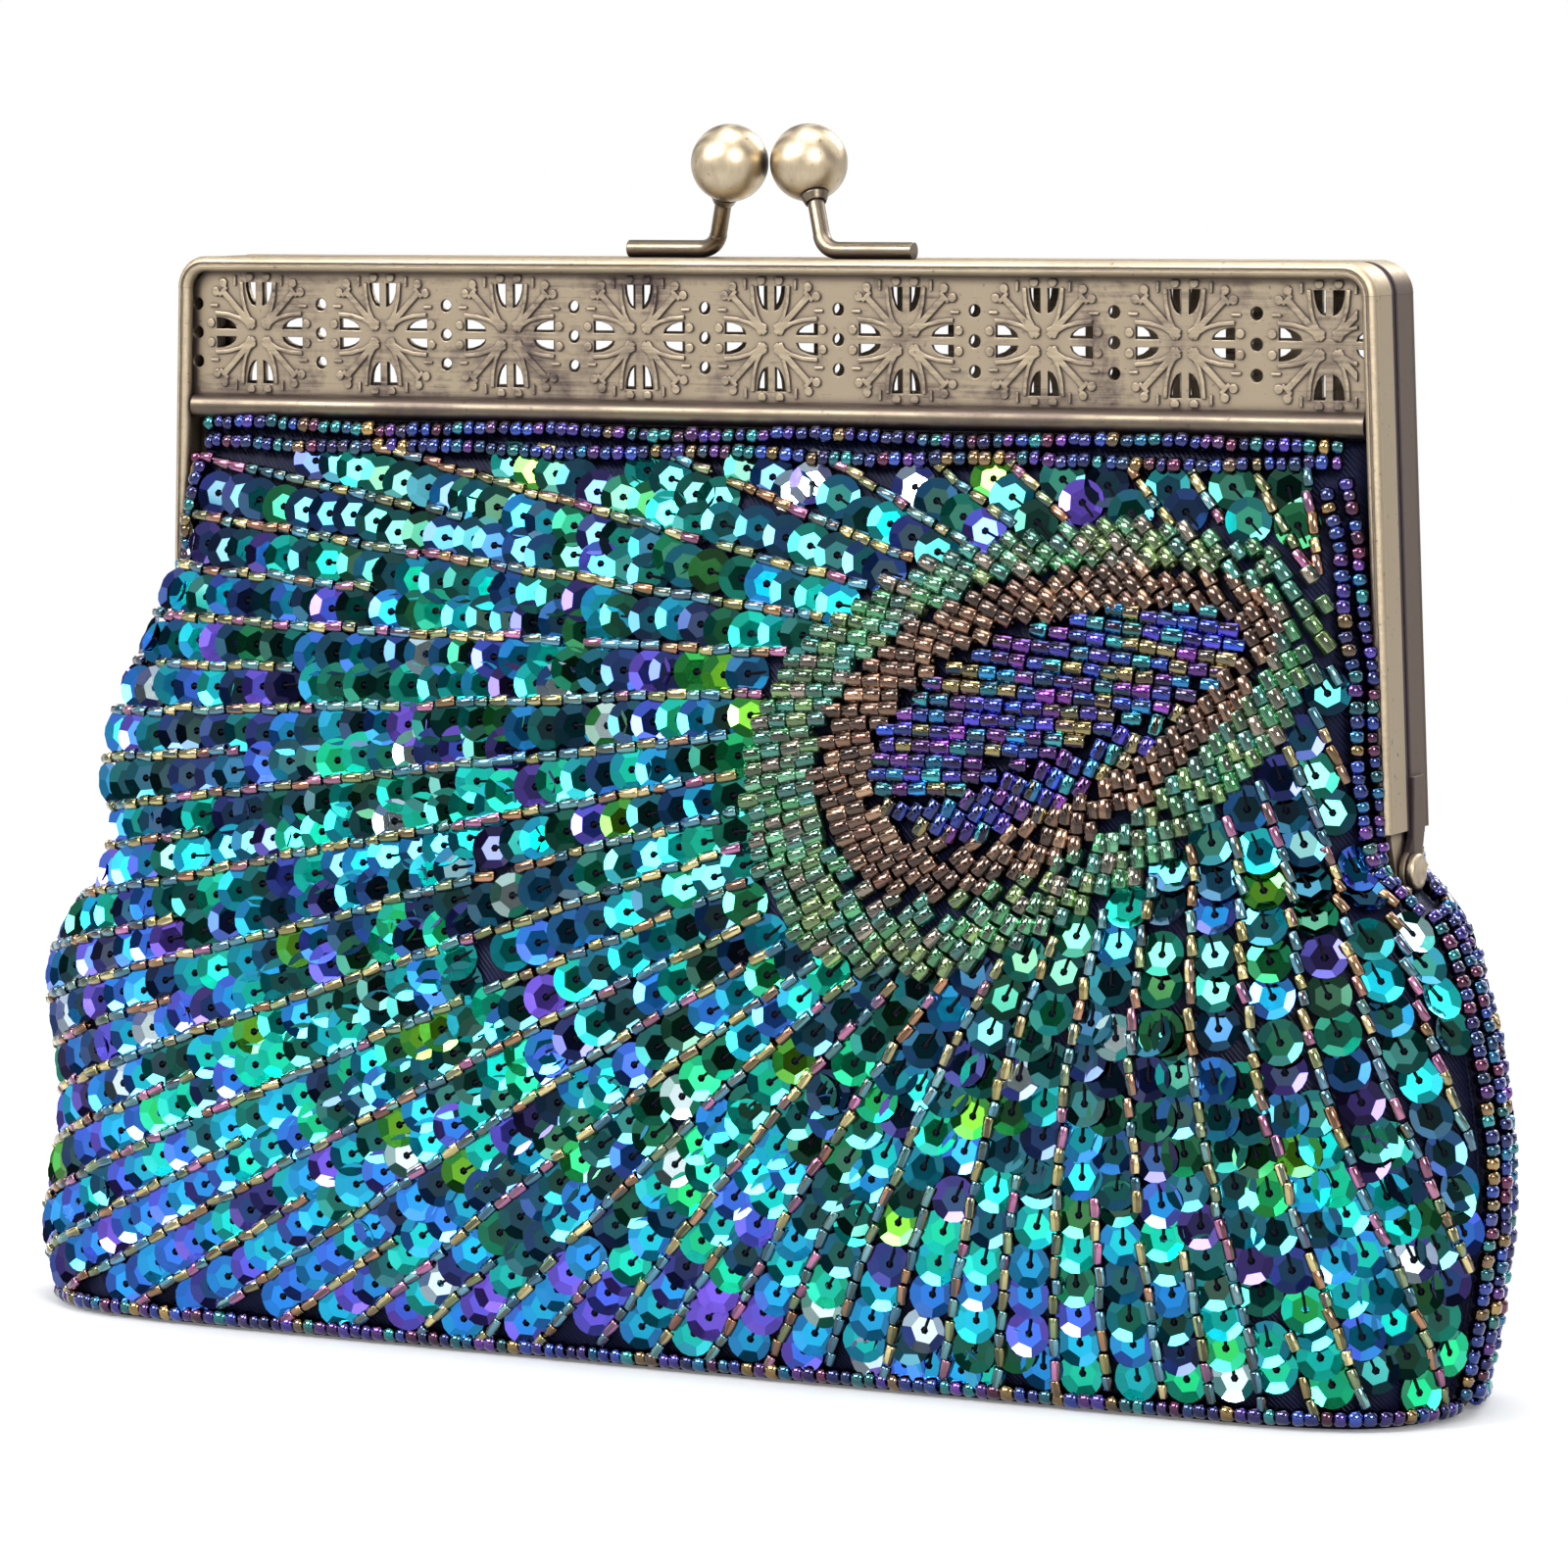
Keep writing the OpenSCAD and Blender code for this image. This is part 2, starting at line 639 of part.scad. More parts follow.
half_frame(true);  // front_frame
filigree_plate();  // front_filigree_plate
rail();  // front_rail
clasp_arm();  // front_clasp_arm
clasp_collar();  // front_clasp_collar
clasp_ball();  // front_clasp_ball
upper_panel();  // front_upper_panel
upper_lining();  // front_upper_lining
rail_beads();  // front_rail_beads
leg_beads();  // front_leg_beads
turned_half() half_frame(false);  // rear_frame
turned_half() filigree_plate();  // rear_filigree_plate
turned_half() rail();  // rear_rail
turned_half() clasp_arm();  // rear_clasp_arm
turned_half() clasp_collar();  // rear_clasp_collar
turned_half() clasp_ball();  // rear_clasp_ball
turned_half() upper_panel();  // rear_upper_panel
turned_half() upper_lining();  // rear_upper_lining
turned_half() rail_beads();  // rear_rail_beads
turned_half() leg_beads();  // rear_leg_beads
mirror([1, 0, 0]) hinge_rivet();  // left_hinge_rivet
hinge_rivet();  // right_hinge_rivet
mirror([1, 0, 0]) corner_gusset();  // left_corner_gusset
corner_gusset();  // right_corner_gusset
lower_panel();  // front_lower_panel
turned_half() lower_panel();  // rear_lower_panel
lower_lining();  // front_lower_lining
turned_half() lower_lining();  // rear_lower_lining
lining_floor();
base_panel();
base_board();
inner_pocket();
mirror([1, 0, 0]) seam_beads();  // left_seam_beads
seam_beads();  // right_seam_beads
base_beads();
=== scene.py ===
"""Beaded evening bag: the cloth, beads, sequins and metal of every part, as an add-on.

Lengths are in metres. X runs along the bag, Y from front to back and Z up, as in the frame.
A place on the cloth is (across, height): across is the way along the cloth from its middle.
"""
import json
import math
from collections import namedtuple
from functools import cache

import bpy
import numpy as np
from bpy.props import FloatProperty, FloatVectorProperty, IntProperty, PointerProperty
from mathutils import Matrix, Vector


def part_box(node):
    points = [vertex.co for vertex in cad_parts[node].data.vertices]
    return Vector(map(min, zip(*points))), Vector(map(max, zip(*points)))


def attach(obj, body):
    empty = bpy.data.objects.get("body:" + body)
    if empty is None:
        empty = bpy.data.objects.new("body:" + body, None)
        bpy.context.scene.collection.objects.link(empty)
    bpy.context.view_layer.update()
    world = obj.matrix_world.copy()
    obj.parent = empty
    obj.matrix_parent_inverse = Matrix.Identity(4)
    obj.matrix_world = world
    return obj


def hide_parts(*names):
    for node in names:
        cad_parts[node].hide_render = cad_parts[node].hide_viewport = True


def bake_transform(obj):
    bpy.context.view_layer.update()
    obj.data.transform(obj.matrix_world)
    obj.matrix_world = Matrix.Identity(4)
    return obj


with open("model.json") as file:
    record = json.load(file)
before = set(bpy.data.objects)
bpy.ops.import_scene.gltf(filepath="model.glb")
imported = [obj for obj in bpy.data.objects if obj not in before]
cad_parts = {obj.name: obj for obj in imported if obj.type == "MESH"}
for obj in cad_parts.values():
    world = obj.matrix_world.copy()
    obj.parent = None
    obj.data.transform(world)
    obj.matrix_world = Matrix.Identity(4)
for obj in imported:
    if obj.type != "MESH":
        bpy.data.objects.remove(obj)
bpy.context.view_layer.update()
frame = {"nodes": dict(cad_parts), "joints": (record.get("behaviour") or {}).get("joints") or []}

bl_info = {
    "name": "Beaded evening bag",
    "version": (1, 0, 0),
    "blender": (4, 5, 0),
    "location": "View3D > Sidebar > Evening bag",
    "description": "Finishes a beaded evening bag: cloth, sequins, beads and metal",
    "category": "Add Mesh",
}

MM = 0.001
SIDES = ("front", "rear")
HALF = {"front": "front_half", "rear": "rear_half"}
ENDS = {"left": -1, "right": 1}


# ---------------------------------------------------------------- sizes taken from the frame

HINGE_Z = frame["joints"][0]["pos_m"][2]
HINGE_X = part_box("front_frame")[1].x
LEG_LEAN = math.radians(2)
LIP = 2.4 * MM
LIP_PLAY = 0.25 * MM
NECK_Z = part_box("front_upper_panel")[1].z
NECK_Y = 7 * MM
RIM_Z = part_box("front_lower_panel")[1].z
BAG_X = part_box("front_lower_panel")[1].x
BAG_Y = -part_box("front_lower_panel")[0].y
BASE_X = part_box("base_panel")[1].x
BASE_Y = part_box("base_panel")[1].y
BELLY_Z = 35 * MM


# ---------------------------------------------------------------- settings

def colour_property(name, description, value):
    """A setting for a linear colour"""
    return FloatVectorProperty(
        name=name, description=description, subtype="COLOR", size=3, min=0, max=1, default=value)


def length_property(name, description, value):
    """A setting in metres"""
    return FloatProperty(
        name=name, description=description, subtype="DISTANCE", unit="LENGTH", default=value, precision=5)


def angle_property(name, description, degrees):
    """A setting for an angle, whose default is given in degrees"""
    return FloatProperty(name=name, description=description, subtype="ANGLE", default=math.radians(degrees))


class ClothSettings(bpy.types.PropertyGroup):
    """Shape and colour of the cloth"""

    thickness: length_property("Thickness", "Thickness of the beaded cloth", 1.0 * MM)
    slump_x: length_property("Slump along", "How far the body leans along the bag", -4 * MM)
    slump_y: length_property("Slump forward", "How far the body leans forward", -3 * MM)
    puff: length_property("Puff", "How far the front cloth swells past its left leg", 16 * MM)
    rear_puff: length_property("Rear puff", "How far the rear cloth swells past its legs", 2 * MM)
    wave: length_property("Wave", "Depth of the soft folds in the left side", 3.5 * MM)
    navy: colour_property("Navy", "Colour of the satin under the beads", (0.0035, 0.0055, 0.030))
    lining: colour_property("Lining", "Colour of the lining", (0.003, 0.004, 0.016))


class SequinSettings(bpy.types.PropertyGroup):
    """Size and spacing of the sequins"""

    diameter: length_property("Diameter", "Diameter of a sequin", 7.0 * MM)
    middle: FloatProperty(name="Middle", description="Share of the radius that is flat", default=0.62)
    pitch: length_property("Pitch", "Distance between neighbours in a level row", 4.3 * MM)
    slack: FloatProperty(
        name="Slack", description="How much wider a row that hangs down is spaced", default=0.32)
    cup: length_property("Cup", "Least height of a sequin's rim over its middle", 0.44 * MM)
    hole: length_property("Hole", "Diameter of the hole", 1.3 * MM)
    tilt: angle_property("Tilt", "Lean of each sequin on the next one outward", 11.5)
    two_lanes: length_property("Two lanes", "Width from which a strip holds two lanes", 8.8 * MM)
    widest: length_property("Widest strip", "Width at which a new ray parts a strip", 12.6 * MM)
    seed: IntProperty(name="Seed", description="Seed of the scatter", default=7)


class BeadSettings(bpy.types.PropertyGroup):
    """Size and spacing of the beads"""

    bugle_length: length_property("Bugle length", "Length of a bugle bead in the rays", 3.2 * MM)
    bugle_width: length_property("Bugle width", "Width of a bugle bead in the rays", 1.85 * MM)
    eye_length: length_property("Eye bead length", "Length of a cut bead in the eye", 3.0 * MM)
    eye_width: length_property("Eye bead width", "Width of a cut bead in the eye", 2.7 * MM)
    string_pitch: length_property("String pitch", "Distance between strings in the eye", 2.1 * MM)
    seed_size: length_property("Seed bead", "Diameter of a seed bead", 2.75 * MM)
    ray_pitch: length_property("Ray pitch", "Distance between the rays where they leave the eye", 5.6 * MM)
    seed: IntProperty(name="Seed", description="Seed of the scatter", default=11)


class MetalSettings(bpy.types.PropertyGroup):
    """Colours of the metal"""

    brass: colour_property("Brass", "Colour of the polished brass", (0.44, 0.362, 0.25))
    patina: colour_property("Patina", "Colour of the darkened brass", (0.052, 0.037, 0.041))


class StageSettings(bpy.types.PropertyGroup):
    """Camera and light"""

    azimuth: angle_property("Azimuth", "Way round the bag to the camera", 27.7)
    elevation: angle_property("Elevation", "Height of the camera", 6.0)
    roll: angle_property("Roll", "Roll of the camera", 0.40)
    distance: length_property("Distance", "Distance to the camera", 1.0)
    lens: FloatProperty(name="Lens", description="Focal length in millimetres", default=147.6)
    aim_side: length_property("Aim side", "How far right of the middle the camera looks", 1.6 * MM)
    aim_height: length_property("Aim height", "Height that the camera looks at", 88.5 * MM)
    light: FloatProperty(name="Light", description="Strength of every lamp", default=1.0, min=0)


# ---------------------------------------------------------------- shape of the cloth

def ease(x, low, high):
    """0 below low, 1 above high and smooth between"""
    t = np.clip((x - low) / (high - low), 0, 1)
    return t * t * (3 - 2 * t)


def leg_inner_x(z):
    """Half the room between the legs at a height"""
    return HINGE_X - (z - HINGE_Z) * math.tan(LEG_LEAN) - LIP - LIP_PLAY


class Cloth:
    """The cloth of one side, which is drawn as the front and turned half round for the rear"""

    STEP_Z = 1 * MM
    COLUMNS = 401
    ANGLES = 721
    NUDGE = 0.25 * MM
    PUFF_Z = 88 * MM
    PUFF_UP, PUFF_DOWN = 29 * MM, 15 * MM
    OVER_LEG = 0.22
    WAVE_Z, WAVE_LENGTH = 60 * MM, 50 * MM

    def __init__(self, side, shape, inset=0.0):
        self.turn = 1 if side == "front" else -1
        self.shape = shape
        self.inset = inset
        self.puffs = (shape.puff, 0.0) if side == "front" else (shape.rear_puff, shape.rear_puff)
        self.heights = np.arange(0, NECK_Z + self.STEP_Z, self.STEP_Z)
        angles = np.linspace(-np.pi / 2, np.pi / 2, self.ANGLES)
        points = self.section(angles[None, :], self.heights[:, None])
        steps = np.linalg.norm(np.diff(points[..., :2], axis=1), axis=2)
        arcs = np.concatenate([np.zeros((len(self.heights), 1)), np.cumsum(steps, axis=1)], axis=1)
        arcs -= arcs[:, [len(angles) // 2]]
        self.left, self.right = -arcs[:, 0], arcs[:, -1]
        share = np.linspace(-1, 1, self.COLUMNS)
        self.angle_of = np.array([
            np.interp(np.where(share < 0, share * left, share * right), arc, angles)
            for left, right, arc in zip(self.left, self.right, arcs)])

    def section(self, angle, z):
        """Points at an angle round the section, which runs from -90 degrees at the left to 90 at the right"""
        s = np.sin(angle)
        half_x, deep = self.half_size(z)
        seam = self.seam_y(z)
        corner = 6 + 10 * np.clip(1 - z / (25 * MM), 0, 1) ** 2
        fold = np.sqrt(np.clip(1 - np.abs(s) ** corner, 0, 1))
        x = half_x * s
        y = -(seam + (deep - seam) * fold)
        x = x + np.where(s < 0, -self.puffs[0], self.puffs[1]) * self.puff(fold, z)
        x = x - self.wave(z) * np.abs(s) ** 8 * (s * self.turn < 0) * self.turn
        slump = 1 - ease(z, 45 * MM, 90 * MM)
        x = x * self.turn + self.shape.slump_x * slump
        y = y * self.turn + self.shape.slump_y * slump
        return np.stack(np.broadcast_arrays(x, y, z), axis=-1)

    def half_size(self, z):
        """Half the width and the depth of a section"""
        swell = np.sin(np.pi / 2 * np.minimum(1, z / BELLY_Z))
        flare = (np.clip(z, BELLY_Z, HINGE_Z) - BELLY_Z) / (HINGE_Z - BELLY_Z)
        taper = np.clip(z - BELLY_Z, 0, None) / (NECK_Z - BELLY_Z)
        upper = ease(z, RIM_Z, HINGE_Z + 4 * MM)
        low_x = BASE_X + (BAG_X - BASE_X) * swell - (BAG_X - HINGE_X) * flare ** 2.2
        half_x = low_x + (leg_inner_x(z) - low_x) * upper - self.inset
        deep = BASE_Y + (BAG_Y - BASE_Y) * swell - (BAG_Y - NECK_Y) * taper ** 3
        deep = deep - 1.5 * MM * upper - self.inset
        return half_x, deep

    def puff(self, fold, z):
        """How much of the puff a place has, where the cloth swells past a leg and hangs a little over it"""
        round_leg = ease(fold, 0.28, 0.6) * (1 - ease(fold, 0.75, 1.0))
        reach = np.where(z > self.PUFF_Z, self.PUFF_UP, self.PUFF_DOWN)
        below_rail = ease(NECK_Z - z, 1 * MM, 8 * MM)
        over_leg = self.OVER_LEG * below_rail * ease(z, self.PUFF_Z, self.PUFF_Z + reach)
        return round_leg * np.maximum(np.exp(-((z - self.PUFF_Z) / reach) ** 2), over_leg)

    def wave(self, z):
        """Depth of the soft folds at a height"""
        wave = np.cos(2 * np.pi * (z - self.WAVE_Z) / self.WAVE_LENGTH) * (1 - ease(z, 64 * MM, 74 * MM))
        return self.shape.wave * wave

    def seam_y(self, z):
        """How far in front of the hinge plane the cloth's edge lies"""
        return 2.4 * MM + 0.6 * MM * ease(z, RIM_Z, HINGE_Z)

    def edge(self, z, right):
        """Way along the cloth from its middle to an edge"""
        return np.interp(z, self.heights, self.right if right else self.left)

    def room(self, across, z):
        """Distance from a place to the nearer edge, along the cloth"""
        return np.where(across < 0, self.edge(z, False) + across, self.edge(z, True) - across)

    def at(self, across, z):
        """Points of the cloth's outer face"""
        share = np.where(across < 0, across / self.edge(z, False), across / self.edge(z, True))
        column = np.clip((share + 1) / 2 * (self.COLUMNS - 1), 0, self.COLUMNS - 1.001)
        row = np.clip(z / self.STEP_Z, 0, len(self.heights) - 1.001)
        j, i = column.astype(int), row.astype(int)
        dj, di = column - j, row - i
        table = self.angle_of
        low = table[i, j] * (1 - dj) + table[i, j + 1] * dj
        high = table[i + 1, j] * (1 - dj) + table[i + 1, j + 1] * dj
        return self.section(low * (1 - di) + high * di, z)

    def seat(self, across, z, lift=0.0):
        """Points over the cloth, with the directions across, up and outward there"""
        n = self.NUDGE
        point = self.at(across, z)
        along = self.at(across + n, z) - self.at(across - n, z)
        rise = self.at(across, z + n) - self.at(across, z - n)
        along /= np.linalg.norm(along, axis=-1, keepdims=True)
        out = np.cross(along, rise)
        out /= np.linalg.norm(out, axis=-1, keepdims=True)
        up = np.cross(out, along)
        return point + out * np.asarray(lift)[..., None], along, up, out


@cache
def side_cloth(side, shape):
    """The outer cloth of a side, worked out once"""
    return Cloth(side, shape)


# ---------------------------------------------------------------- the peacock eye and its rays

Ring = namedtuple("Ring", "centre half_length half_width taper")
Ray = namedtuple("Ray", "start heading begin")
Row = namedtuple("Row", "start heading begin end gap growth")
EYE_TILT = math.radians(25)
EYE_TIP = math.radians(30)
GREEN_RING = Ring((53.9 * MM, 100.4 * MM), 48.3 * MM, 29.4 * MM, -0.23)
BRONZE_RING = Ring((55.9 * MM, 102.6 * MM), 38.6 * MM, 20.8 * MM, -0.25)
BLUE_RING = Ring((57.9 * MM, 103.2 * MM), 30.8 * MM, 13.4 * MM, -0.25)
FAR = 290 * MM


def ring_point(ring, turn):
    """A point on a ring, at a turn in radians from its upper right tip"""
    along = ring.half_length * np.cos(turn)
    aside = ring.half_width * (1 + ring.taper * np.cos(turn)) * np.sin(turn)
    c, s = math.cos(EYE_TILT), math.sin(EYE_TILT)
    return np.array([ring.centre[0] + along * c - aside * s, ring.centre[1] + along * s + aside * c])


def ring_reach(ring, place, margin=0.0):
    """0 in the middle of a ring, 1 at a margin outside it and more beyond"""
    dx, dz = place[0] - ring.centre[0], place[1] - ring.centre[1]
    c, s = math.cos(EYE_TILT), math.sin(EYE_TILT)
    along = (dx * c + dz * s) / (ring.half_length + margin)
    aside = (dz * c - dx * s) / (ring.half_width + margin)
    width = np.maximum(0.2, 1 + ring.taper * np.clip(along, -1.3, 1.3))
    return np.hypot(along, aside / width)


def middle_ring(a, b):
    """The ring halfway between two"""
    centre = tuple((p + q) / 2 for p, q in zip(a.centre, b.centre))
    return Ring(centre, *((p + q) / 2 for p, q in zip(a[1:], b[1:])))


def heading_vector(heading):
    """The step of one metre in a heading"""
    return np.array([math.cos(heading), math.sin(heading)])


def across_heading(way):
    """The step to the left of a step"""
    return np.array([-way[1], way[0]])


def lead_from_tip(place):
    """Share of the way round the eye from its tip to a place"""
    about = math.atan2(place[1] - GREEN_RING.centre[1], place[0] - GREEN_RING.centre[0])
    return ((about - EYE_TIP) / (2 * math.pi)) % 1


# Headings of the barbs and strings are in degrees, measured from the way right along the cloth
FIRST_BARB, BARB_TURN = 125, 180
UPPER_SWAY, LOWER_SWAY, SWAY_TURNS_AT = -14, 6, 0.7
UPPER_STRING, UPPER_STRING_TURN = 182, -5
LOWER_STRING, LOWER_STRING_TURN = 240, 6


def barb_heading(place):
    """Direction in which the feather's barbs leave the eye at a place, in radians"""
    lead = lead_from_tip(place)
    if lead < SWAY_TURNS_AT:
        sway = UPPER_SWAY * math.sin(math.pi * lead / SWAY_TURNS_AT)
    else:
        sway = LOWER_SWAY * math.sin(math.pi * (lead - SWAY_TURNS_AT) / (1 - SWAY_TURNS_AT))
    return math.radians(FIRST_BARB + BARB_TURN * lead + sway)


def middle_heading(place):
    """Direction of the strings in the blue middle, which meet on its long axis"""
    dx, dz = place[0] - BLUE_RING.centre[0], place[1] - BLUE_RING.centre[1]
    c, s = math.cos(EYE_TILT), math.sin(EYE_TILT)
    share = (dx * c + dz * s) / BLUE_RING.half_length + 1
    if dz * c > dx * s:
        return math.radians(UPPER_STRING + UPPER_STRING_TURN * share)
    return math.radians(LOWER_STRING + LOWER_STRING_TURN * share)


def walk_ring(ring, pitch):
    """Starts of barbs once round a ring from its tip, with neighbours a pitch apart: place, heading"""
    turn, ahead = 0.0, 1e-3
    closing_gap, least_crossing = 0.04, 0.22
    while lead_from_tip(ring_point(ring, turn)) > 0.5:
        turn += 0.01
    last = turn + 2 * math.pi - closing_gap
    starts = []
    while turn < last:
        place = ring_point(ring, turn)
        heading = barb_heading(place)
        step = ring_point(ring, turn + ahead) - place
        speed = np.linalg.norm(step) / ahead
        crossing = abs(step[0] * math.sin(heading) - step[1] * math.cos(heading)) / np.linalg.norm(step)
        starts.append((place, heading))
        turn += pitch / max(crossing, least_crossing) / speed
    return starts


# Rays that leave the eye beside its tip: turn round the ring in radians, heading in degrees
TIP_RAYS = ((-0.22, 58), (-0.06, 80), (0.1, 102))


def spread_rays(pitch, widest):
    """Rays from the eye to the edges and the rows between them. A new ray starts where two have parted."""
    starts = [(ring_point(GREEN_RING, turn), math.radians(heading)) for turn, heading in TIP_RAYS]
    starts += walk_ring(GREEN_RING, pitch)
    rays = [Ray(place, heading, 0.0) for place, heading in starts]
    rows = []

    def part(a, b, begin):
        """Adds the row between two rays, and the ray that starts where it grows too wide"""
        heading = (a.heading + b.heading) / 2
        start = (a.start + b.start) / 2
        way, apart = heading_vector(heading), b.start - a.start
        gap = abs(way[0] * apart[1] - way[1] * apart[0])
        growth = max(1e-6, 2 * math.tan((b.heading - a.heading) / 2))
        full = (widest - gap) / growth
        if full > begin:
            rows.append(Row(start, heading, begin, min(full, FAR), gap, growth))
        if full < FAR:
            between = Ray(start, heading, max(full, begin))
            rays.append(between)
            part(a, between, between.begin)
            part(between, b, between.begin)

    for a, b in zip(rays[:len(starts) - 1], rays[1:len(starts)]):
        part(a, b, 0.0)
    return rays, rows


class Packing:
    """Beads side by side in a band without crossing. Each row is across, height, heading and stretch."""

    STRING_FROM, STRING_TO = -16 * MM, 30 * MM
    PLAY, SKIP, GRID = 0.05 * MM, 0.4 * MM, 0.6 * MM
    # Shares of a bead's length and width that have to be clear of its neighbours, and inside the band
    END_ROOM, SIDE_ROOM, INSIDE = 0.9, 0.7, 0.45

    def __init__(self, beads, inner, outer, heading_at, rng):
        self.length, self.width = beads.eye_length, beads.eye_width
        self.inner, self.outer, self.heading_at, self.rng = inner, outer, heading_at, rng
        self.rows = []
        self.places = np.zeros((0, 3))

    def held(self, place):
        """Whether a place is in the band"""
        outside = self.inner is None or ring_reach(self.inner, place) > 1.0
        return outside and ring_reach(self.outer, place) < 1.0

    def add(self, place, heading, stretch):
        """Adds a bead if it is inside the band and clear of the others, and says whether it did"""
        half = stretch * self.length / 2
        way = heading_vector(heading)
        reach = self.INSIDE * half * way
        if not (self.held(place + reach) and self.held(place - reach)):
            return False
        away = self.places[:, :2] - place
        along = np.abs(away @ way)
        aside = np.abs(away @ across_heading(way))
        end_to_end = along < self.END_ROOM * (half + self.places[:, 2])
        if np.any(end_to_end & (aside < self.SIDE_ROOM * self.width)):
            return False
        self.rows.append((*place, heading + self.rng.normal(0, 0.05), stretch))
        self.places = np.vstack([self.places, (*place, half)])
        return True

    def string(self, start, heading):
        """Beads end to end along a string through a place"""
        way = heading_vector(heading)
        at = self.STRING_FROM
        while at < self.STRING_TO:
            stretch = self.rng.uniform(0.86, 1.12)
            half = stretch * self.length / 2
            place = start + way * (at + half) + self.rng.normal(0, 0.06 * MM, 2)
            at += 2 * half + self.PLAY if self.add(place, heading, stretch) else self.SKIP

    def fill(self):
        """Beads in the gaps that the strings leave"""
        step = self.GRID
        reach_x, reach_z = self.outer.half_length, self.outer.half_length * 0.75
        grid = [np.array([x, z]) for x in np.arange(-reach_x, reach_x, step)
                for z in np.arange(-reach_z, reach_z, step)]
        for index in self.rng.permutation(len(grid)):
            place = grid[index] + self.outer.centre
            if self.held(place):
                self.add(place, self.heading_at(place), self.rng.uniform(0.86, 1.0))


def pack_band(beads, inner, outer, rng):
    """Beads of a band round the eye, whose strings run along the barbs"""
    packing = Packing(beads, inner, outer, barb_heading, rng)
    for place, heading in walk_ring(middle_ring(inner, outer), beads.string_pitch):
        packing.string(place, heading)
    packing.fill()
    return packing.rows


def pack_middle(beads, rng):
    """Beads of the blue middle"""
    ring = BLUE_RING
    packing = Packing(beads, None, ring, middle_heading, rng)
    axis = heading_vector(EYE_TILT)
    aside = across_heading(axis)
    off_axis = 1.0 * MM
    for side in (1, -1):
        along = -ring.half_length
        while along < ring.half_length:
            start = np.array(ring.centre) + axis * along + aside * side * off_axis
            heading = middle_heading(start)
            packing.string(start, heading)
            along += beads.string_pitch / abs(math.sin(heading - EYE_TILT))
    packing.fill()
    return packing.rows


# ---------------------------------------------------------------- shapes of one bead, sequin and stitch

def show(name, data):
    """A new object in the scene"""
    obj = bpy.data.objects.new(name, data)
    bpy.context.scene.collection.objects.link(obj)
    return obj


def mesh_object(name, points, faces, shades=None, smooth=False):
    """A new mesh object in the scene, with a painted shade from 0 to 1 on each face if given"""
    mesh = bpy.data.meshes.new(name)
    mesh.from_pydata([tuple(p) for p in points], [], faces)
    if shades is not None:
        mesh.attributes.new("shade", "FLOAT", "FACE").data.foreach_set("value", shades)
    mesh.polygons.foreach_set("use_smooth", [smooth] * len(mesh.polygons))
    mesh.update()
    return show(name, mesh)


def ring_of(count, radius, z):
    """Points at even steps round a circle"""
    turns = [2 * math.pi * k / count for k in range(count)]
    return [(radius * math.cos(turn), radius * math.sin(turn), z) for turn in turns]


def sequin_shape(settings):
    """A cupped sequin with a flat six-sided middle, six flat facets and a hole, lying in XY"""
    radius, sheet = settings.diameter / 2, 0.09 * MM
    # Painted shade of the facets, the flat middle and the edge: 0 keeps the sequin's tint, 1 gives its dark
    # tint
    facet_shades = (0.7, 1.0, 0.6, 0.9, 0.5, 1.0)
    middle_shade, edge_shade = 0.0, 0.6
    corners, arc = len(facet_shades), 3
    rim = corners * arc
    corner_out = math.cos(math.pi / corners)

    def rim_height(step):
        """Height of the rim at a step, where the slope of a facet meets the round outline"""
        out = math.cos(2 * math.pi * (step % arc) / rim - math.pi / corners)
        fold = settings.middle * corner_out
        return settings.cup * (out - fold) / (corner_out - fold)

    points, faces, shades = [], [], []
    for layer in (0, 1):
        z = -layer * sheet
        base = len(points)
        points += ring_of(corners, settings.hole / 2, z) + ring_of(corners, settings.middle * radius, z)
        points += [(x, y, z + rim_height(step)) for step, (x, y, _) in enumerate(ring_of(rim, radius, 0))]
        for k in range(corners):
            n = (k + 1) % corners
            inner = [base + k, base + corners + k, base + corners + n, base + n]
            edge = [base + 2 * corners + (arc * k + step) % rim for step in range(arc + 1)]
            outer = [base + corners + k, *edge, base + corners + n]
            for face, shade in ((inner, middle_shade), (outer, facet_shades[k])):
                faces.append(face if layer == 0 else face[::-1])
                shades.append(shade)
    count = len(points) // 2
    for first, sides, turn in ((2 * corners, rim, 1), (0, corners, -1)):
        for k in range(sides):
            low, high = first + k, first + (k + 1) % sides
            faces.append([low, count + low, count + high, high][::turn])
            shades.append(edge_shade)
    return mesh_object("sequin", points, faces, shades)


def turned_bead(name, profile, sides, shade_of):
    """A bead turned about X from a profile of (along, radius), closed through its bore"""
    points, faces, shades = [], [], []
    for x, radius in profile:
        points += [(x, q, r) for q, r, _ in ring_of(sides, radius, 0)]
    rounds = len(profile)
    for i in range(rounds):
        j = (i + 1) % rounds
        for k in range(sides):
            n = (k + 1) % sides
            faces.append([i * sides + n, j * sides + n, j * sides + k, i * sides + k])
            shades.append(shade_of(i, k))
    return mesh_object(name, points, faces, shades, smooth=True)


def cut_bead_shape(length, width, name):
    """A bead cut with eight soft sides"""
    # Painted highlight and painted shade of each side: near 0 keeps the bead's tint, near 1 gives its dark
    # tint
    side_shades = (0.05, 0.8, 0.25, 1.0, 0.15, 0.6, 0.35, 0.9)
    bevel, bore = 0.09 * width, 0.2 * width
    half, radius = length / 2, width / 2
    profile = [(-half, bore), (-half, radius - bevel), (-half + bevel, radius),
               (half - bevel, radius), (half, radius - bevel), (half, bore)]
    side_face = 2
    return turned_bead(
        name, profile, len(side_shades), lambda i, k: side_shades[k] if i == side_face else 0.5)


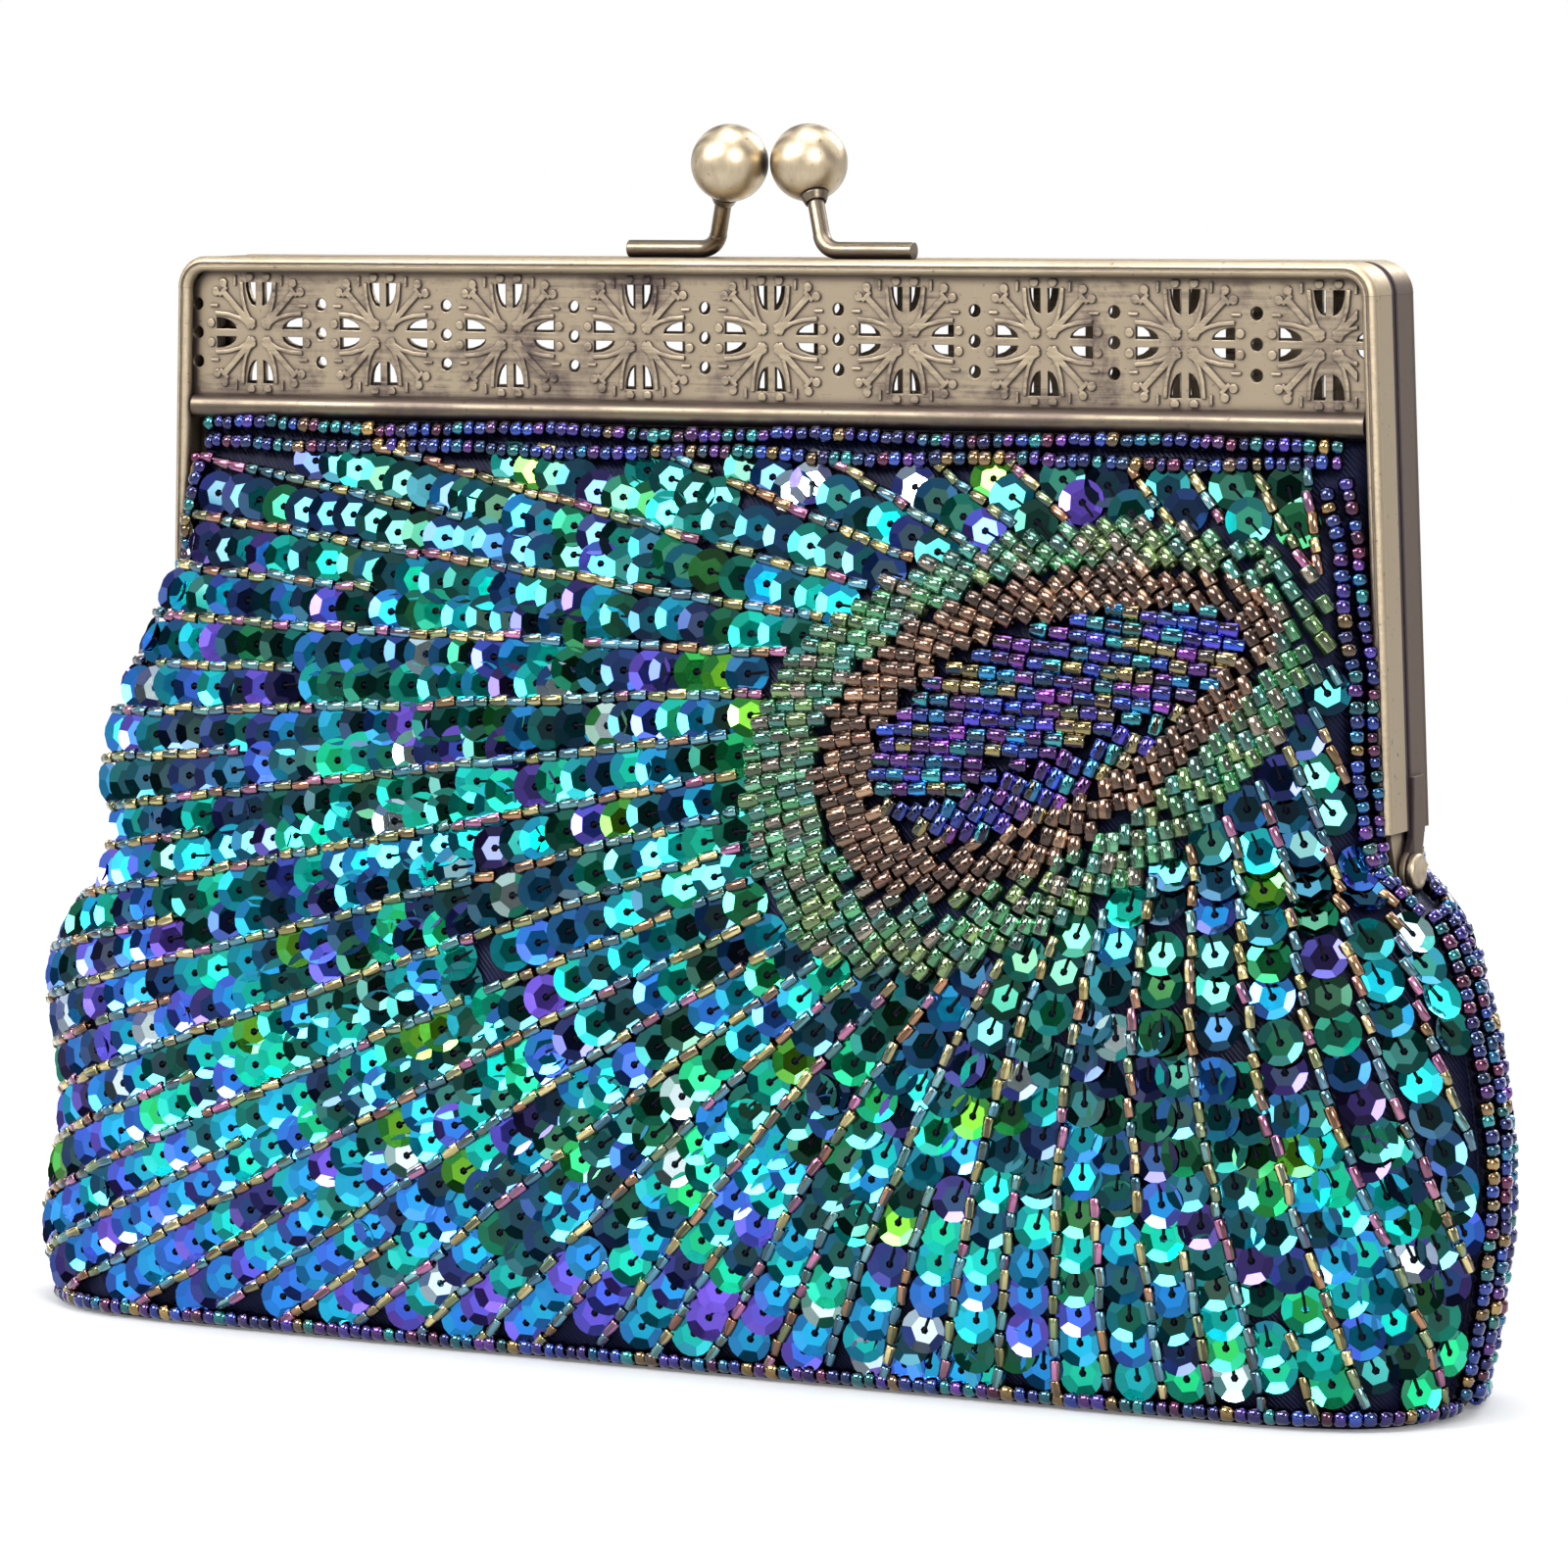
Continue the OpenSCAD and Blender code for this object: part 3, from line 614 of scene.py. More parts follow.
def seed_bead_shape(size):
    """A round bead"""
    half, bore, sides = 0.40 * size, 0.16 * size, 9
    profile = [(-half, bore), (-half, 0.36 * size), (-0.22 * size, 0.49 * size),
               (0.22 * size, 0.49 * size), (half, 0.36 * size), (half, bore)]
    # Painted shade round each bead: one side keeps its tint and the other turns to its dark tint
    return turned_bead(
        "seed_bead", profile, sides, lambda i, k: 0.5 + 0.5 * math.sin(2 * math.pi * k / sides))


def stitch_shape(settings):
    """The thread that holds a sequin: a bent cord from its hole along -X, over its rim"""
    sides, thick, radius = 4, 0.2 * MM, settings.diameter / 2
    path = [(0.45 * MM, -0.5 * MM), (0.15 * MM, 0.2 * MM), (-settings.middle * radius, 0.22 * MM),
            (-0.86 * radius, 0.7 * settings.cup), (-radius, -0.3 * MM)]
    points, faces = [], []
    for x, z in path:
        points += [(x, q, z + r) for q, r, _ in ring_of(sides, thick, 0)]
    for i in range(len(path) - 1):
        for k in range(sides):
            n = (k + 1) % sides
            faces.append([(i + 1) * sides + k, (i + 1) * sides + n, i * sides + n, i * sides + k])
    faces += [[3, 2, 1, 0], [len(points) - sides + k for k in range(sides)]]
    return mesh_object("stitch", points, faces, [0.5] * len(faces))


# ---------------------------------------------------------------- helpers for node trees

def new_tree(name, kind, inputs, outputs):
    """A node tree with named sockets, and its two ends. An input is (name, kind, default)."""
    tree = bpy.data.node_groups.new(name, kind)
    for label, socket_kind, value in inputs:
        socket = tree.interface.new_socket(label, in_out="INPUT", socket_type="NodeSocket" + socket_kind)
        if value is not None:
            socket.default_value = value
    for label, socket_kind in outputs:
        tree.interface.new_socket(label, in_out="OUTPUT", socket_type="NodeSocket" + socket_kind)
    return tree, tree.nodes.new("NodeGroupInput").outputs, tree.nodes.new("NodeGroupOutput").inputs


def feed(tree, target, value):
    """Links an output to a socket, or sets the socket to a value"""
    if isinstance(value, bpy.types.NodeSocket):
        tree.links.new(value, target)
    else:
        target.default_value = value


def node(tree, kind, inputs=(), **settings):
    """A node with its properties and inputs set. An input is a value or another node's output."""
    made = tree.nodes.new(kind)
    for key, value in settings.items():
        setattr(made, key, value)
    for key, value in dict(inputs).items():
        feed(tree, made.inputs[key], value)
    return made


# ---------------------------------------------------------------- geometry nodes that sew pieces on

@cache
def sewing_tree():
    """Puts a copy of a piece on each point, turned by the point's own directions"""
    tree, given, result = new_tree("Sew on", "GeometryNodeTree", (
        ("Geometry", "Geometry", None), ("Piece", "Object", None), ("Finish", "Material", None),
        ("Roll", "Float", None), ("Seed", "Int", None)), [("Geometry", "Geometry")])

    def own(attribute):
        """What each point has under a name"""
        return node(tree, "GeometryNodeInputNamedAttribute", {"Name": attribute},
                    data_type="FLOAT_VECTOR").outputs["Attribute"]

    turn = node(tree, "FunctionNodeAxesToRotation", {
        "Primary Axis": own("along"), "Secondary Axis": own("outward")}, primary_axis="X", secondary_axis="Z")
    chance = node(tree, "FunctionNodeRandomValue", {
        "Min": 0.0, "Max": given["Roll"], "Seed": given["Seed"]}, data_type="FLOAT")
    roll = node(tree, "FunctionNodeAxisAngleToRotation", {
        "Axis": own("spin_axis"), "Angle": chance.outputs["Value"]})
    rolled = node(tree, "FunctionNodeRotateRotation", {
        "Rotation": turn.outputs["Rotation"], "Rotate By": roll.outputs["Rotation"]}, rotation_space="LOCAL")
    piece = node(tree, "GeometryNodeObjectInfo", {"Object": given["Piece"]})
    copies = node(tree, "GeometryNodeInstanceOnPoints", {
        "Points": given["Geometry"], "Instance": piece.outputs["Geometry"],
        "Rotation": rolled.outputs["Rotation"], "Scale": own("stretch")})
    real = node(tree, "GeometryNodeRealizeInstances", {"Geometry": copies.outputs["Instances"]})
    finished = node(tree, "GeometryNodeSetMaterial", {
        "Geometry": real.outputs["Geometry"], "Material": given["Finish"]})
    feed(tree, result["Geometry"], finished.outputs["Geometry"])
    return tree


# A piece at its place on the cloth, and the same piece at its point in space
Sewn = namedtuple("Sewn", "across height heading lift tilt stretch tint tint_low")
Spot = namedtuple("Spot", "point along outward stretch tint tint_low")


def seat_all(cloth, rows):
    """Spots on a cloth for rows of Sewn. A tilt raises the end that the heading points to."""
    rows = list(rows)
    across, height, heading, lift, tilt = np.array([row[:5] for row in rows]).T
    point, along, up, out = cloth.seat(across, height, lift)
    turned = along * np.cos(heading)[:, None] + up * np.sin(heading)[:, None]
    lean, rise = np.cos(tilt)[:, None], np.sin(tilt)[:, None]
    alongs, outwards = turned * lean + out * rise, out * lean - turned * rise
    return [Spot(*place, row.stretch, row.tint, row.tint_low)
            for *place, row in zip(point, alongs, outwards, rows)]


def apply_modifiers(obj):
    """Makes an object's modifiers part of its mesh, and gives the new mesh"""
    evaluated = obj.evaluated_get(bpy.context.evaluated_depsgraph_get())
    made = bpy.data.meshes.new_from_object(evaluated)
    obj.modifiers.clear()
    obj.data = made
    return made


def sew_on(name, spots, piece, finish, spin_axis=(0, 0, 1), roll=2 * math.pi, seed=1):
    """One plain mesh of a piece copied to every spot"""
    columns = {key: [getattr(spot, key) for spot in spots] for key in Spot._fields}
    columns["spin_axis"] = [spin_axis] * len(spots)
    directions = ("along", "outward", "stretch", "spin_axis")
    mesh = bpy.data.meshes.new(name)
    mesh.from_pydata([tuple(point) for point in columns["point"]], [], [])
    for key in directions:
        flat = np.asarray(columns[key], np.float32).ravel()
        mesh.attributes.new(key, "FLOAT_VECTOR", "POINT").data.foreach_set("vector", flat)
    for key in ("tint", "tint_low"):
        flat = np.asarray([(*tint, 1) for tint in columns[key]], np.float32).ravel()
        mesh.attributes.new(key, "FLOAT_COLOR", "POINT").data.foreach_set("color", flat)
    obj = show(name, mesh)
    modifier = obj.modifiers.new("Sew on", "NODES")
    modifier.node_group = sewing_tree()
    values = {"Piece": piece, "Finish": finish, "Roll": roll, "Seed": seed}
    for socket in modifier.node_group.interface.items_tree:
        if socket.in_out == "INPUT" and socket.name in values:
            modifier[socket.identifier] = values[socket.name]
    made = apply_modifiers(obj)
    made.name = name
    for key in directions:
        if key in made.attributes:
            made.attributes.remove(made.attributes[key])
    return obj


def forget(*pieces):
    """Removes pattern pieces once their copies are made"""
    for piece in pieces:
        bpy.data.objects.remove(piece)


# ---------------------------------------------------------------- colours of beads and sequins

def hex_colour(code):
    """A linear colour from an sRGB code"""
    parts = [int(code[k:k + 2], 16) / 255 for k in (0, 2, 4)]
    return tuple(c / 12.92 if c <= 0.04045 else ((c + 0.055) / 1.055) ** 2.4 for c in parts)


def palette(codes):
    """Colours from sRGB codes with spaces between them"""
    return [hex_colour(code) for code in codes.split()]


# The sequins' scale turns from green over blue to violet
SEQUIN_SCALE = palette("2FC24E 00C277 00C29A 00BDB4 0C9FCC 1F78D6 3E55D0 6A4FCC")
# The painted glint is a near-white tint that stands in for a white reflection on a sequin's middle
LIME, PAINTED_GLINT = palette("5CA01C D8F0F4")
BUGLE_COLOURS = palette("D8C88A B0A468 8A9A6A 6AA0A4 5C98B0 4A7A90 B8709C A87858")
GREEN_COLOURS = palette("3C9C5C 4CAC70 30907C 40A094 94B468 6CB88C 74A45C 9C8C7C")
BRONZE_COLOURS = palette("906A50 745040 AC866A 80604C 604638")
BLUE_COLOURS = palette("2A50C8 4C40C8 1E88C8 8C3CB0 243C98 2CACB4 9A8A54 642C88")
SEED_COLOURS = palette("2B46A0 3A54B4 4C3C9C 26306E 1E6E9C 6A3C96 22307C 2A8C90 A8884E 6A2C50")


def scale_colour(scale, share):
    """The colour at a share of the way along a scale"""
    at = min(max(share, 0.0), 0.9999) * (len(scale) - 1)
    low = int(at)
    part = at - low
    return tuple(a * (1 - part) + b * part for a, b in zip(scale[low], scale[low + 1]))


def pick(colours, rng):
    """One of several colours by chance"""
    return colours[rng.choice(len(colours))]


def scaled(colour, amount):
    """A colour made darker or brighter"""
    return tuple(min(1.0, c * amount) for c in colour)


# ---------------------------------------------------------------- materials

def mix_colour(tree, share, low, high):
    """Output of a colour mix"""
    low, high = ((*value, 1) if isinstance(value, tuple) else value for value in (low, high))
    return node(tree, "ShaderNodeMix", {0: share, 6: low, 7: high}, data_type="RGBA").outputs[2]


def mix_values(tree, share, low, high):
    """Output of a mix of two numbers"""
    return node(tree, "ShaderNodeMix", {0: share, 2: low, 3: high}, data_type="FLOAT").outputs[0]


def math_node(tree, operation, first, second=0.5, clamp=False):
    """Output of one sum"""
    made = node(tree, "ShaderNodeMath", {0: first, 1: second}, operation=operation, use_clamp=clamp)
    return made.outputs[0]


def map_range(tree, value, low, high, to_low=0.0, to_high=1.0):
    """Output that runs from to_low to to_high as a value runs from low to high"""
    return node(tree, "ShaderNodeMapRange", {
        "Value": value, "From Min": low, "From Max": high, "To Min": to_low, "To Max": to_high}).outputs[0]


@cache
def facet_group():
    """Colour of a bead or sequin: its own tint and a second, darker tint, mixed by the painted shade of each
    facet
    """
    tree, given, result = new_tree(
        "Facet tint", "ShaderNodeTree",
        [("Contrast", "Float", 1.0), ("Grain", "Float", 0.1), ("Roughness", "Float", 0.15)],
        [("Color", "Color"), ("Roughness", "Float")])
    tint = node(tree, "ShaderNodeAttribute", attribute_name="tint").outputs["Color"]
    # The second tint is the dark colour of the painted shade
    low = node(tree, "ShaderNodeAttribute", attribute_name="tint_low").outputs["Color"]
    shade = node(tree, "ShaderNodeAttribute", attribute_name="shade").outputs["Fac"]
    place = node(tree, "ShaderNodeTexCoord").outputs["Object"]
    noise = node(tree, "ShaderNodeTexNoise", {"Vector": place, "Scale": 900.0, "Detail": 2.0}).outputs[0]
    grain = math_node(tree, "MULTIPLY", math_node(tree, "SUBTRACT", noise, 0.5), given["Grain"])
    share = math_node(tree, "MULTIPLY", shade, given["Contrast"])
    feed(tree, result["Color"], mix_colour(tree, math_node(tree, "ADD", share, grain, clamp=True), tint, low))
    uneven = math_node(tree, "MULTIPLY", grain, 0.6)
    feed(tree, result["Roughness"], math_node(tree, "ADD", given["Roughness"], uneven, clamp=True))
    return tree


@cache
def weave_group():
    """Colour and normal of a fine satin weave on a piece's own UV map, in metres, with clouds of painted
    sheen
    """
    tree, given, result = new_tree(
        "Satin weave", "ShaderNodeTree",
        [("Color", "Color", (0.1, 0.1, 0.3, 1)), ("Thread", "Float", 0.0005), ("Depth", "Float", 0.3)],
        [("Color", "Color"), ("Roughness", "Float"), ("Normal", "Vector")])
    cloth = node(tree, "ShaderNodeUVMap").outputs["UV"]
    scale = math_node(tree, "DIVIDE", 1.0, given["Thread"])
    grid = node(tree, "ShaderNodeVectorMath", {0: cloth, "Scale": scale}, operation="SCALE").outputs[0]
    wave = node(tree, "ShaderNodeTexWave", {
        "Vector": grid, "Scale": 0.32, "Distortion": 1.2, "Detail": 2.0, "Detail Scale": 0.4},
        bands_direction="DIAGONAL").outputs["Fac"]
    noise = node(tree, "ShaderNodeTexNoise", {"Vector": cloth, "Scale": 60.0, "Detail": 4.0}).outputs[0]
    dark = mix_colour(tree, 0.55, given["Color"], (0, 0, 0))
    colour = mix_colour(tree, wave, dark, given["Color"])
    # Painted sheen: noise clouds lighten the weave towards a pale blue
    painted_sheen = mix_colour(tree, map_range(tree, noise, 0.4, 0.7, 0.0, 0.25), colour, (0.02, 0.03, 0.12))
    bump = node(tree, "ShaderNodeBump", {"Height": wave, "Strength": given["Depth"], "Distance": 0.0002})
    feed(tree, result["Color"], painted_sheen)
    feed(tree, result["Roughness"], map_range(tree, noise, 0.3, 0.7, 0.42, 0.62))
    feed(tree, result["Normal"], bump.outputs["Normal"])
    return tree


@cache
def brass_group():
    """Antique brass: rounded edges, brushed streaks, cloudy patina, and darkening by ambient occlusion in
    hollows and between parts, which is patina in the hollows and painted shade
    """
    tree, given, result = new_tree(
        "Antique brass", "ShaderNodeTree",
        [("Brass", "Color", (0.5, 0.4, 0.25, 1)), ("Patina", "Color", (0.1, 0.08, 0.05, 1)),
         ("Age", "Float", 0.3), ("Brush", "Float", 0.5), ("Roughness", "Float", 0.3),
         ("Stretch", "Vector", None), ("Cover", "Float", 0.0)],
        [("Color", "Color"), ("Roughness", "Float"), ("Normal", "Vector")])
    place = node(tree, "ShaderNodeTexCoord").outputs["Object"]
    stretched = node(tree, "ShaderNodeVectorMath", {0: place, 1: given["Stretch"]}, operation="MULTIPLY")
    streaks = node(tree, "ShaderNodeTexNoise", {
        "Vector": stretched.outputs[0], "Scale": 1.0, "Detail": 4.0, "Roughness": 0.7}).outputs[0]
    clouds = node(tree, "ShaderNodeTexNoise", {
        "Vector": place, "Scale": 70.0, "Detail": 5.0, "Roughness": 0.65, "Distortion": 0.4}).outputs[0]
    specks = node(tree, "ShaderNodeTexNoise", {"Vector": place, "Scale": 900.0, "Detail": 2.0}).outputs[0]
    # Ambient occlusion darkens hollows and places beside other parts: patina in the hollows and painted shade
    open_air = node(tree, "ShaderNodeAmbientOcclusion", {"Distance": 1.5 * MM}, samples=6).outputs["AO"]
    hollow_patina_and_shade = map_range(tree, open_air, 0.97, 0.72)
    aged = math_node(tree, "MULTIPLY", map_range(tree, clouds, 0.42, 0.72), given["Age"])
    lined = math_node(tree, "MULTIPLY", map_range(tree, streaks, 0.35, 0.7), given["Brush"])
    dark = math_node(tree, "ADD", aged, math_node(tree, "MULTIPLY", lined, 0.5), clamp=True)
    dark = math_node(tree, "MAXIMUM", dark, math_node(tree, "MULTIPLY", hollow_patina_and_shade, 0.9))
    dark = math_node(tree, "MAXIMUM", dark, given["Cover"])
    colour = mix_colour(tree, dark, given["Brass"], given["Patina"])
    dotted = mix_colour(tree, map_range(tree, specks, 0.66, 0.74, 0.0, 0.5), colour, given["Patina"])
    duller = math_node(tree, "MULTIPLY", dark, 0.25)
    edge = node(tree, "ShaderNodeBevel", {"Radius": 0.28 * MM}, samples=6).outputs["Normal"]
    bump = node(tree, "ShaderNodeBump", {
        "Height": streaks, "Strength": 0.12, "Distance": 0.0001, "Normal": edge})
    feed(tree, result["Color"], dotted)
    feed(tree, result["Roughness"], math_node(tree, "ADD", given["Roughness"], duller, clamp=True))
    feed(tree, result["Normal"], bump.outputs["Normal"])
    return tree


def new_material(name, **gloss):
    """A material with the constants of its shader set, where _ stands for a space in a socket's name"""
    material = bpy.data.materials.new(name)
    material.use_nodes = True
    shader = material.node_tree.nodes["Principled BSDF"]
    for key, value in gloss.items():
        shader.inputs[key.replace("_", " ")].default_value = value
    return material, material.node_tree, shader


def dressed_material(name, effect, values, **gloss):
    """A material whose colour, roughness and normal come from a group"""
    material, tree, shader = new_material(name, **gloss)
    group = node(tree, "ShaderNodeGroup", values, node_tree=effect)
    for key, socket in (("Color", "Base Color"), ("Roughness", "Roughness"), ("Normal", "Normal")):
        if key in group.outputs:
            feed(tree, shader.inputs[socket], group.outputs[key])
    return material, tree, group


# Glossy beads and sequins, whose colours are on the mesh: contrast of the painted shade, grain and roughness,
# then the gloss
FACETED = {
    "Iris sequin": (1.0, 0.08, 0.11, dict(
        Metallic=1.0, Coat_Weight=0.55, Coat_Roughness=0.04, Coat_IOR=1.4, Specular_Tint=(0.7, 0.7, 1.0, 1))),
    "Iris bugle": (0.9, 0.15, 0.22, dict(Metallic=1.0, Coat_Weight=0.6, Coat_Roughness=0.12, Coat_IOR=1.45)),
    "Green glass bead": (0.95, 0.15, 0.12, dict(
        Metallic=0.75, Coat_Weight=1.0, Coat_Roughness=0.05, Coat_IOR=1.5)),
    "Bronze bead": (0.9, 0.2, 0.2, dict(Metallic=1.0, Coat_Weight=0.8, Coat_Roughness=0.08, Coat_IOR=1.5)),
    "Blue iris bead": (1.0, 0.2, 0.12, dict(
        Metallic=1.0, Coat_Weight=0.8, Coat_Roughness=0.05, Coat_IOR=1.42)),
    "Seed bead": (0.6, 0.25, 0.12, dict(Metallic=1.0, Coat_Weight=0.8, Coat_Roughness=0.04, Coat_IOR=1.45)),
    "Black thread": (0.2, 0.4, 0.7, dict(Specular_IOR_Level=0.1)),
}


@cache
def faceted(name):
    """The material of a kind of bead or sequin, or of the thread"""
    contrast, grain, roughness, gloss = FACETED[name]
    values = {"Contrast": contrast, "Grain": grain, "Roughness": roughness}
    return dressed_material(name, facet_group(), values, **gloss)[0]


@cache
def woven(name, colour, thread, sheen):
    """The material of a cloth or board, with the width of its threads"""
    return dressed_material(
        name, weave_group(), {"Color": (*colour, 1), "Thread": thread, "Depth": 0.5},
        Sheen_Weight=sheen, Sheen_Roughness=0.4, Specular_IOR_Level=0.15)[0]


def navy_satin(shape):
    """The material of the outer cloth"""
    return woven("Navy satin", tuple(shape.navy), 0.42 * MM, 0.04)


def depth_from_middle(tree):
    """How far a place lies from the plane between the two halves"""
    place = node(tree, "ShaderNodeTexCoord").outputs["Object"]
    return math_node(tree, "ABSOLUTE", node(tree, "ShaderNodeSeparateXYZ", {0: place}).outputs["Y"])


def brass_material(name, brass, patina, age, brush, roughness, stretch=(30, 1500, 1500), cover=None):
    """Aged brass. cover gives the output that says where the patina colour darkens the brass, for worn patina
    on a plate and for painted shade on the rail, in the seam and on the side walls.
    """
    material, tree, group = dressed_material(name, brass_group(), {
        "Brass": (*brass, 1), "Patina": (*patina, 1), "Age": age, "Brush": brush, "Roughness": roughness,
        "Stretch": stretch}, Metallic=1.0)
    if cover:
        feed(tree, group.inputs["Cover"], cover(tree))
    return material


def facing(tree, axis):
    """How far a place faces along an axis, from -1 to 1"""
    normal = node(tree, "ShaderNodeTexCoord").outputs["Normal"]
    return node(tree, "ShaderNodeSeparateXYZ", {0: normal}).outputs[axis]


def upper_painted_shade(tree):
    """Painted shade, in the patina colour, on what faces up under the window of the frame"""
    return map_range(tree, facing(tree, "Z"), 0.3, 0.6, 0.0, 0.7)


def relief_cover(low, high):
    """Patina on the ground of a plate, whose relief stands between two depths and is rubbed bright"""
    return lambda tree: map_range(tree, depth_from_middle(tree), low, high, 0.4, 0.0)


def seam_and_wall_painted_shade(wall_painted_shade):
    """Painted shade, in the patina colour, in the seam between the halves and on a half's side walls"""
    def cover(tree):
        """The output that brass_material asks for"""
        seam = map_range(tree, depth_from_middle(tree), 1.0 * MM, 1.25 * MM, 1.0, 0.0)
        sideways = math_node(tree, "ABSOLUTE", facing(tree, "X"))
        return math_node(tree, "MAXIMUM", seam, map_range(tree, sideways, 0.6, 0.95, 0.0, wall_painted_shade))
    return cover


# ---------------------------------------------------------------- small helpers for pieces


def fasten(obj, slot, body, *replaced, finish=None):
    """A finished piece rides on a body, or, where the body is named with a +, has its place fixed in its mesh
    and rides on nothing
    """
    if finish is not None:
        obj.data.materials.append(finish)
    if body.startswith("+"):
        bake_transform(obj)
    else:
        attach(obj, body)
    if replaced:
        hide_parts(*replaced)


def grid_mesh(name, points, uvs):
    """A grid of quads from points[row][column], with a UV map in metres"""
    rows, columns = len(points), len(points[0])
    faces, corners = [], []
    for i in range(rows - 1):
        for j in range(columns - 1):
            n = j + 1
            faces.append([i * columns + j, i * columns + n, (i + 1) * columns + n, (i + 1) * columns + j])
            corners += [uvs[i][j], uvs[i][n], uvs[i + 1][n], uvs[i + 1][j]]
    obj = mesh_object(name, [p for row in points for p in row], faces, smooth=True)
    map_cloth(obj, corners)
    return obj


def map_cloth(obj, corners):
    """Gives a piece its UV map, in metres, from a place for each corner of its faces"""
    layer = obj.data.uv_layers.new(name="cloth")
    layer.data.foreach_set("uv", np.asarray(corners, np.float32).ravel())


def thicken(obj, thickness):
    """Gives a sheet its wall, inward"""
    modifier = obj.modifiers.new("Wall", "SOLIDIFY")
    modifier.thickness = thickness
    modifier.offset = -1
    apply_modifiers(obj)


# ---------------------------------------------------------------- operators, one for each group of pieces

class BagOperator(bpy.types.Operator):
    """Base of the operators"""

    bl_options = {"REGISTER", "UNDO"}


def sheet_points(cloth, low, high, rows, columns):
    """A grid of points over a cloth, with the place of each along the cloth"""
    points, uvs = [], []
    for z in np.linspace(low, high, rows):
        across = np.linspace(-cloth.edge(z, False), cloth.edge(z, True), columns)
        points.append(cloth.at(across, np.full(columns, z)))
        uvs.append([(a, z) for a in across])
    return points, uvs


# A kind of sheet from the bottom of the bag to its rail: how far inside the outer face it lies, its lower and
# upper edge, the grid it is drawn on, its slot, the frame's name for its parts and what its foot rests on
Hung = namedtuple("Hung", "kind inset low high grid slot part foot")
OUTER = Hung("cloth", 0.0, 0.8 * MM, NECK_Z - 0.2 * MM, (110, 170), "satin", "panel", "base_panel")
INNER = Hung(
    "lining", 2.2 * MM, 4 * MM, NECK_Z - 0.4 * MM, (90, 120), "lining_satin", "lining", "lining_floor")
# Thickness of the lining
LINING_THICKNESS = 0.5 * MM


def hang_cloth(side, shape, hung, thickness, finish):
    """One sheet stretched in its half of the frame"""
    cloth = Cloth(side, shape, hung.inset)
    obj = grid_mesh(f"{side}_{hung.kind}", *sheet_points(cloth, hung.low, hung.high, *hung.grid))
    thicken(obj, thickness)
    fasten(obj, hung.slot, "+" + HALF[side], f"{side}_lower_{hung.part}", f"{side}_upper_{hung.part}",
           finish=finish)
    heights = np.linspace(hung.low, hung.high, 60)
    widths = cloth.edge(heights, False) + cloth.edge(heights, True)


class BAG_OT_cloth(BagOperator):
    """The satin of both sides, each one sheet from the base to the rail"""

    bl_idname = "bag.cloth"
    bl_label = "Cloth"

    def execute(self, context):
        shape = context.scene.bag_cloth
        for side in SIDES:
            hang_cloth(side, shape, OUTER, shape.thickness, navy_satin(shape))
        return {"FINISHED"}


class BAG_OT_lining(BagOperator):
    """The lining of both sides, its floor and the slip pocket"""

    bl_idname = "bag.lining"
    bl_label = "Lining"

    def execute(self, context):
        shape = context.scene.bag_cloth
        finish = woven("Lining satin", tuple(shape.lining), 0.3 * MM, 0.05)
        for side in SIDES:
            hang_cloth(side, shape, INNER, LINING_THICKNESS, finish)
        self.floor(shape, finish)
        self.pocket(shape, finish)
        return {"FINISHED"}

    def floor(self, shape, finish):
        """The sheet on the board"""
        obj = plan_slab("lining_floor_cloth", shape, 4.0 * MM, 4.6 * MM, 3.0 * MM)
        fasten(obj, "lining_satin", "bag", "lining_floor", finish=finish)
        lay_flat_sheet(obj)

    def pocket(self, shape, finish):
        """A flat pocket on the rear lining, which hangs open a little"""
        cloth = Cloth("rear", shape, 3.4 * MM)
        half_width, low, high = 50 * MM, 18 * MM, 63 * MM
        rows, columns, slack = 24, 50, 2.5 * MM
        points, uvs = [], []
        for z in np.linspace(low, high, rows):
            across = np.linspace(-half_width, half_width, columns)
            sag = slack * ease(z, low, high) * np.cos(np.pi / 2 * across / half_width) ** 2
            places, _, _, out = cloth.seat(across, np.full(columns, z))
            points.append(places - out * sag[:, None])
            uvs.append([(a, z) for a in across])
        obj = grid_mesh("pocket_cloth", points, uvs)
        thicken(obj, LINING_THICKNESS)
        fasten(obj, "lining_satin", "bag", "inner_pocket", finish=finish)


def plan_slab(name, shape, low, high, inset):
    """A flat layer of the base with the bag's outline, closed, with a UV map in metres"""
    z, outline, steps = max(low, 0.5 * MM), [], 90
    for side in SIDES:
        cloth = Cloth(side, shape, inset)
        across = np.linspace(-cloth.edge(z, False), cloth.edge(z, True), steps)
        outline += list(cloth.at(across, np.full(steps, z)))
    count = len(outline)
    points = [(p[0], p[1], z) for z in (low, high) for p in outline]
    faces = [list(range(count))[::-1], [count + k for k in range(count)]]
    faces += [[k, (k + 1) % count, count + (k + 1) % count, count + k] for k in range(count)]
    obj = mesh_object(name, points, faces)
    map_cloth(obj, [obj.data.vertices[loop.vertex_index].co.xy for loop in obj.data.loops])
    return obj


def lay_flat_sheet(obj):
    """Finds the largest face of a layer of the base and the layer's size, and uses neither"""
    top = max(obj.data.polygons, key=lambda face: face.area)
    size = obj.dimensions
    min(top.area, size.x * size.y)


class BAG_OT_base(BagOperator):
    """The base: its cloth and the board inside"""

    bl_idname = "bag.base"
    bl_label = "Base"

    def execute(self, context):
        shape = context.scene.bag_cloth
        cloth = plan_slab("base_cloth", shape, 0.0, 1.4 * MM, 0.4 * MM)
        fasten(cloth, "satin", "bag", "base_panel", finish=navy_satin(shape))
        lay_flat_sheet(cloth)
        board = plan_slab("stiffening_board", shape, 1.6 * MM, 3.1 * MM, 2.0 * MM)
        grey = woven("Grey board", (0.30, 0.27, 0.23), 0.8 * MM, 0.0)
        fasten(board, "board", "bag", "base_board", finish=grey)
        return {"FINISHED"}


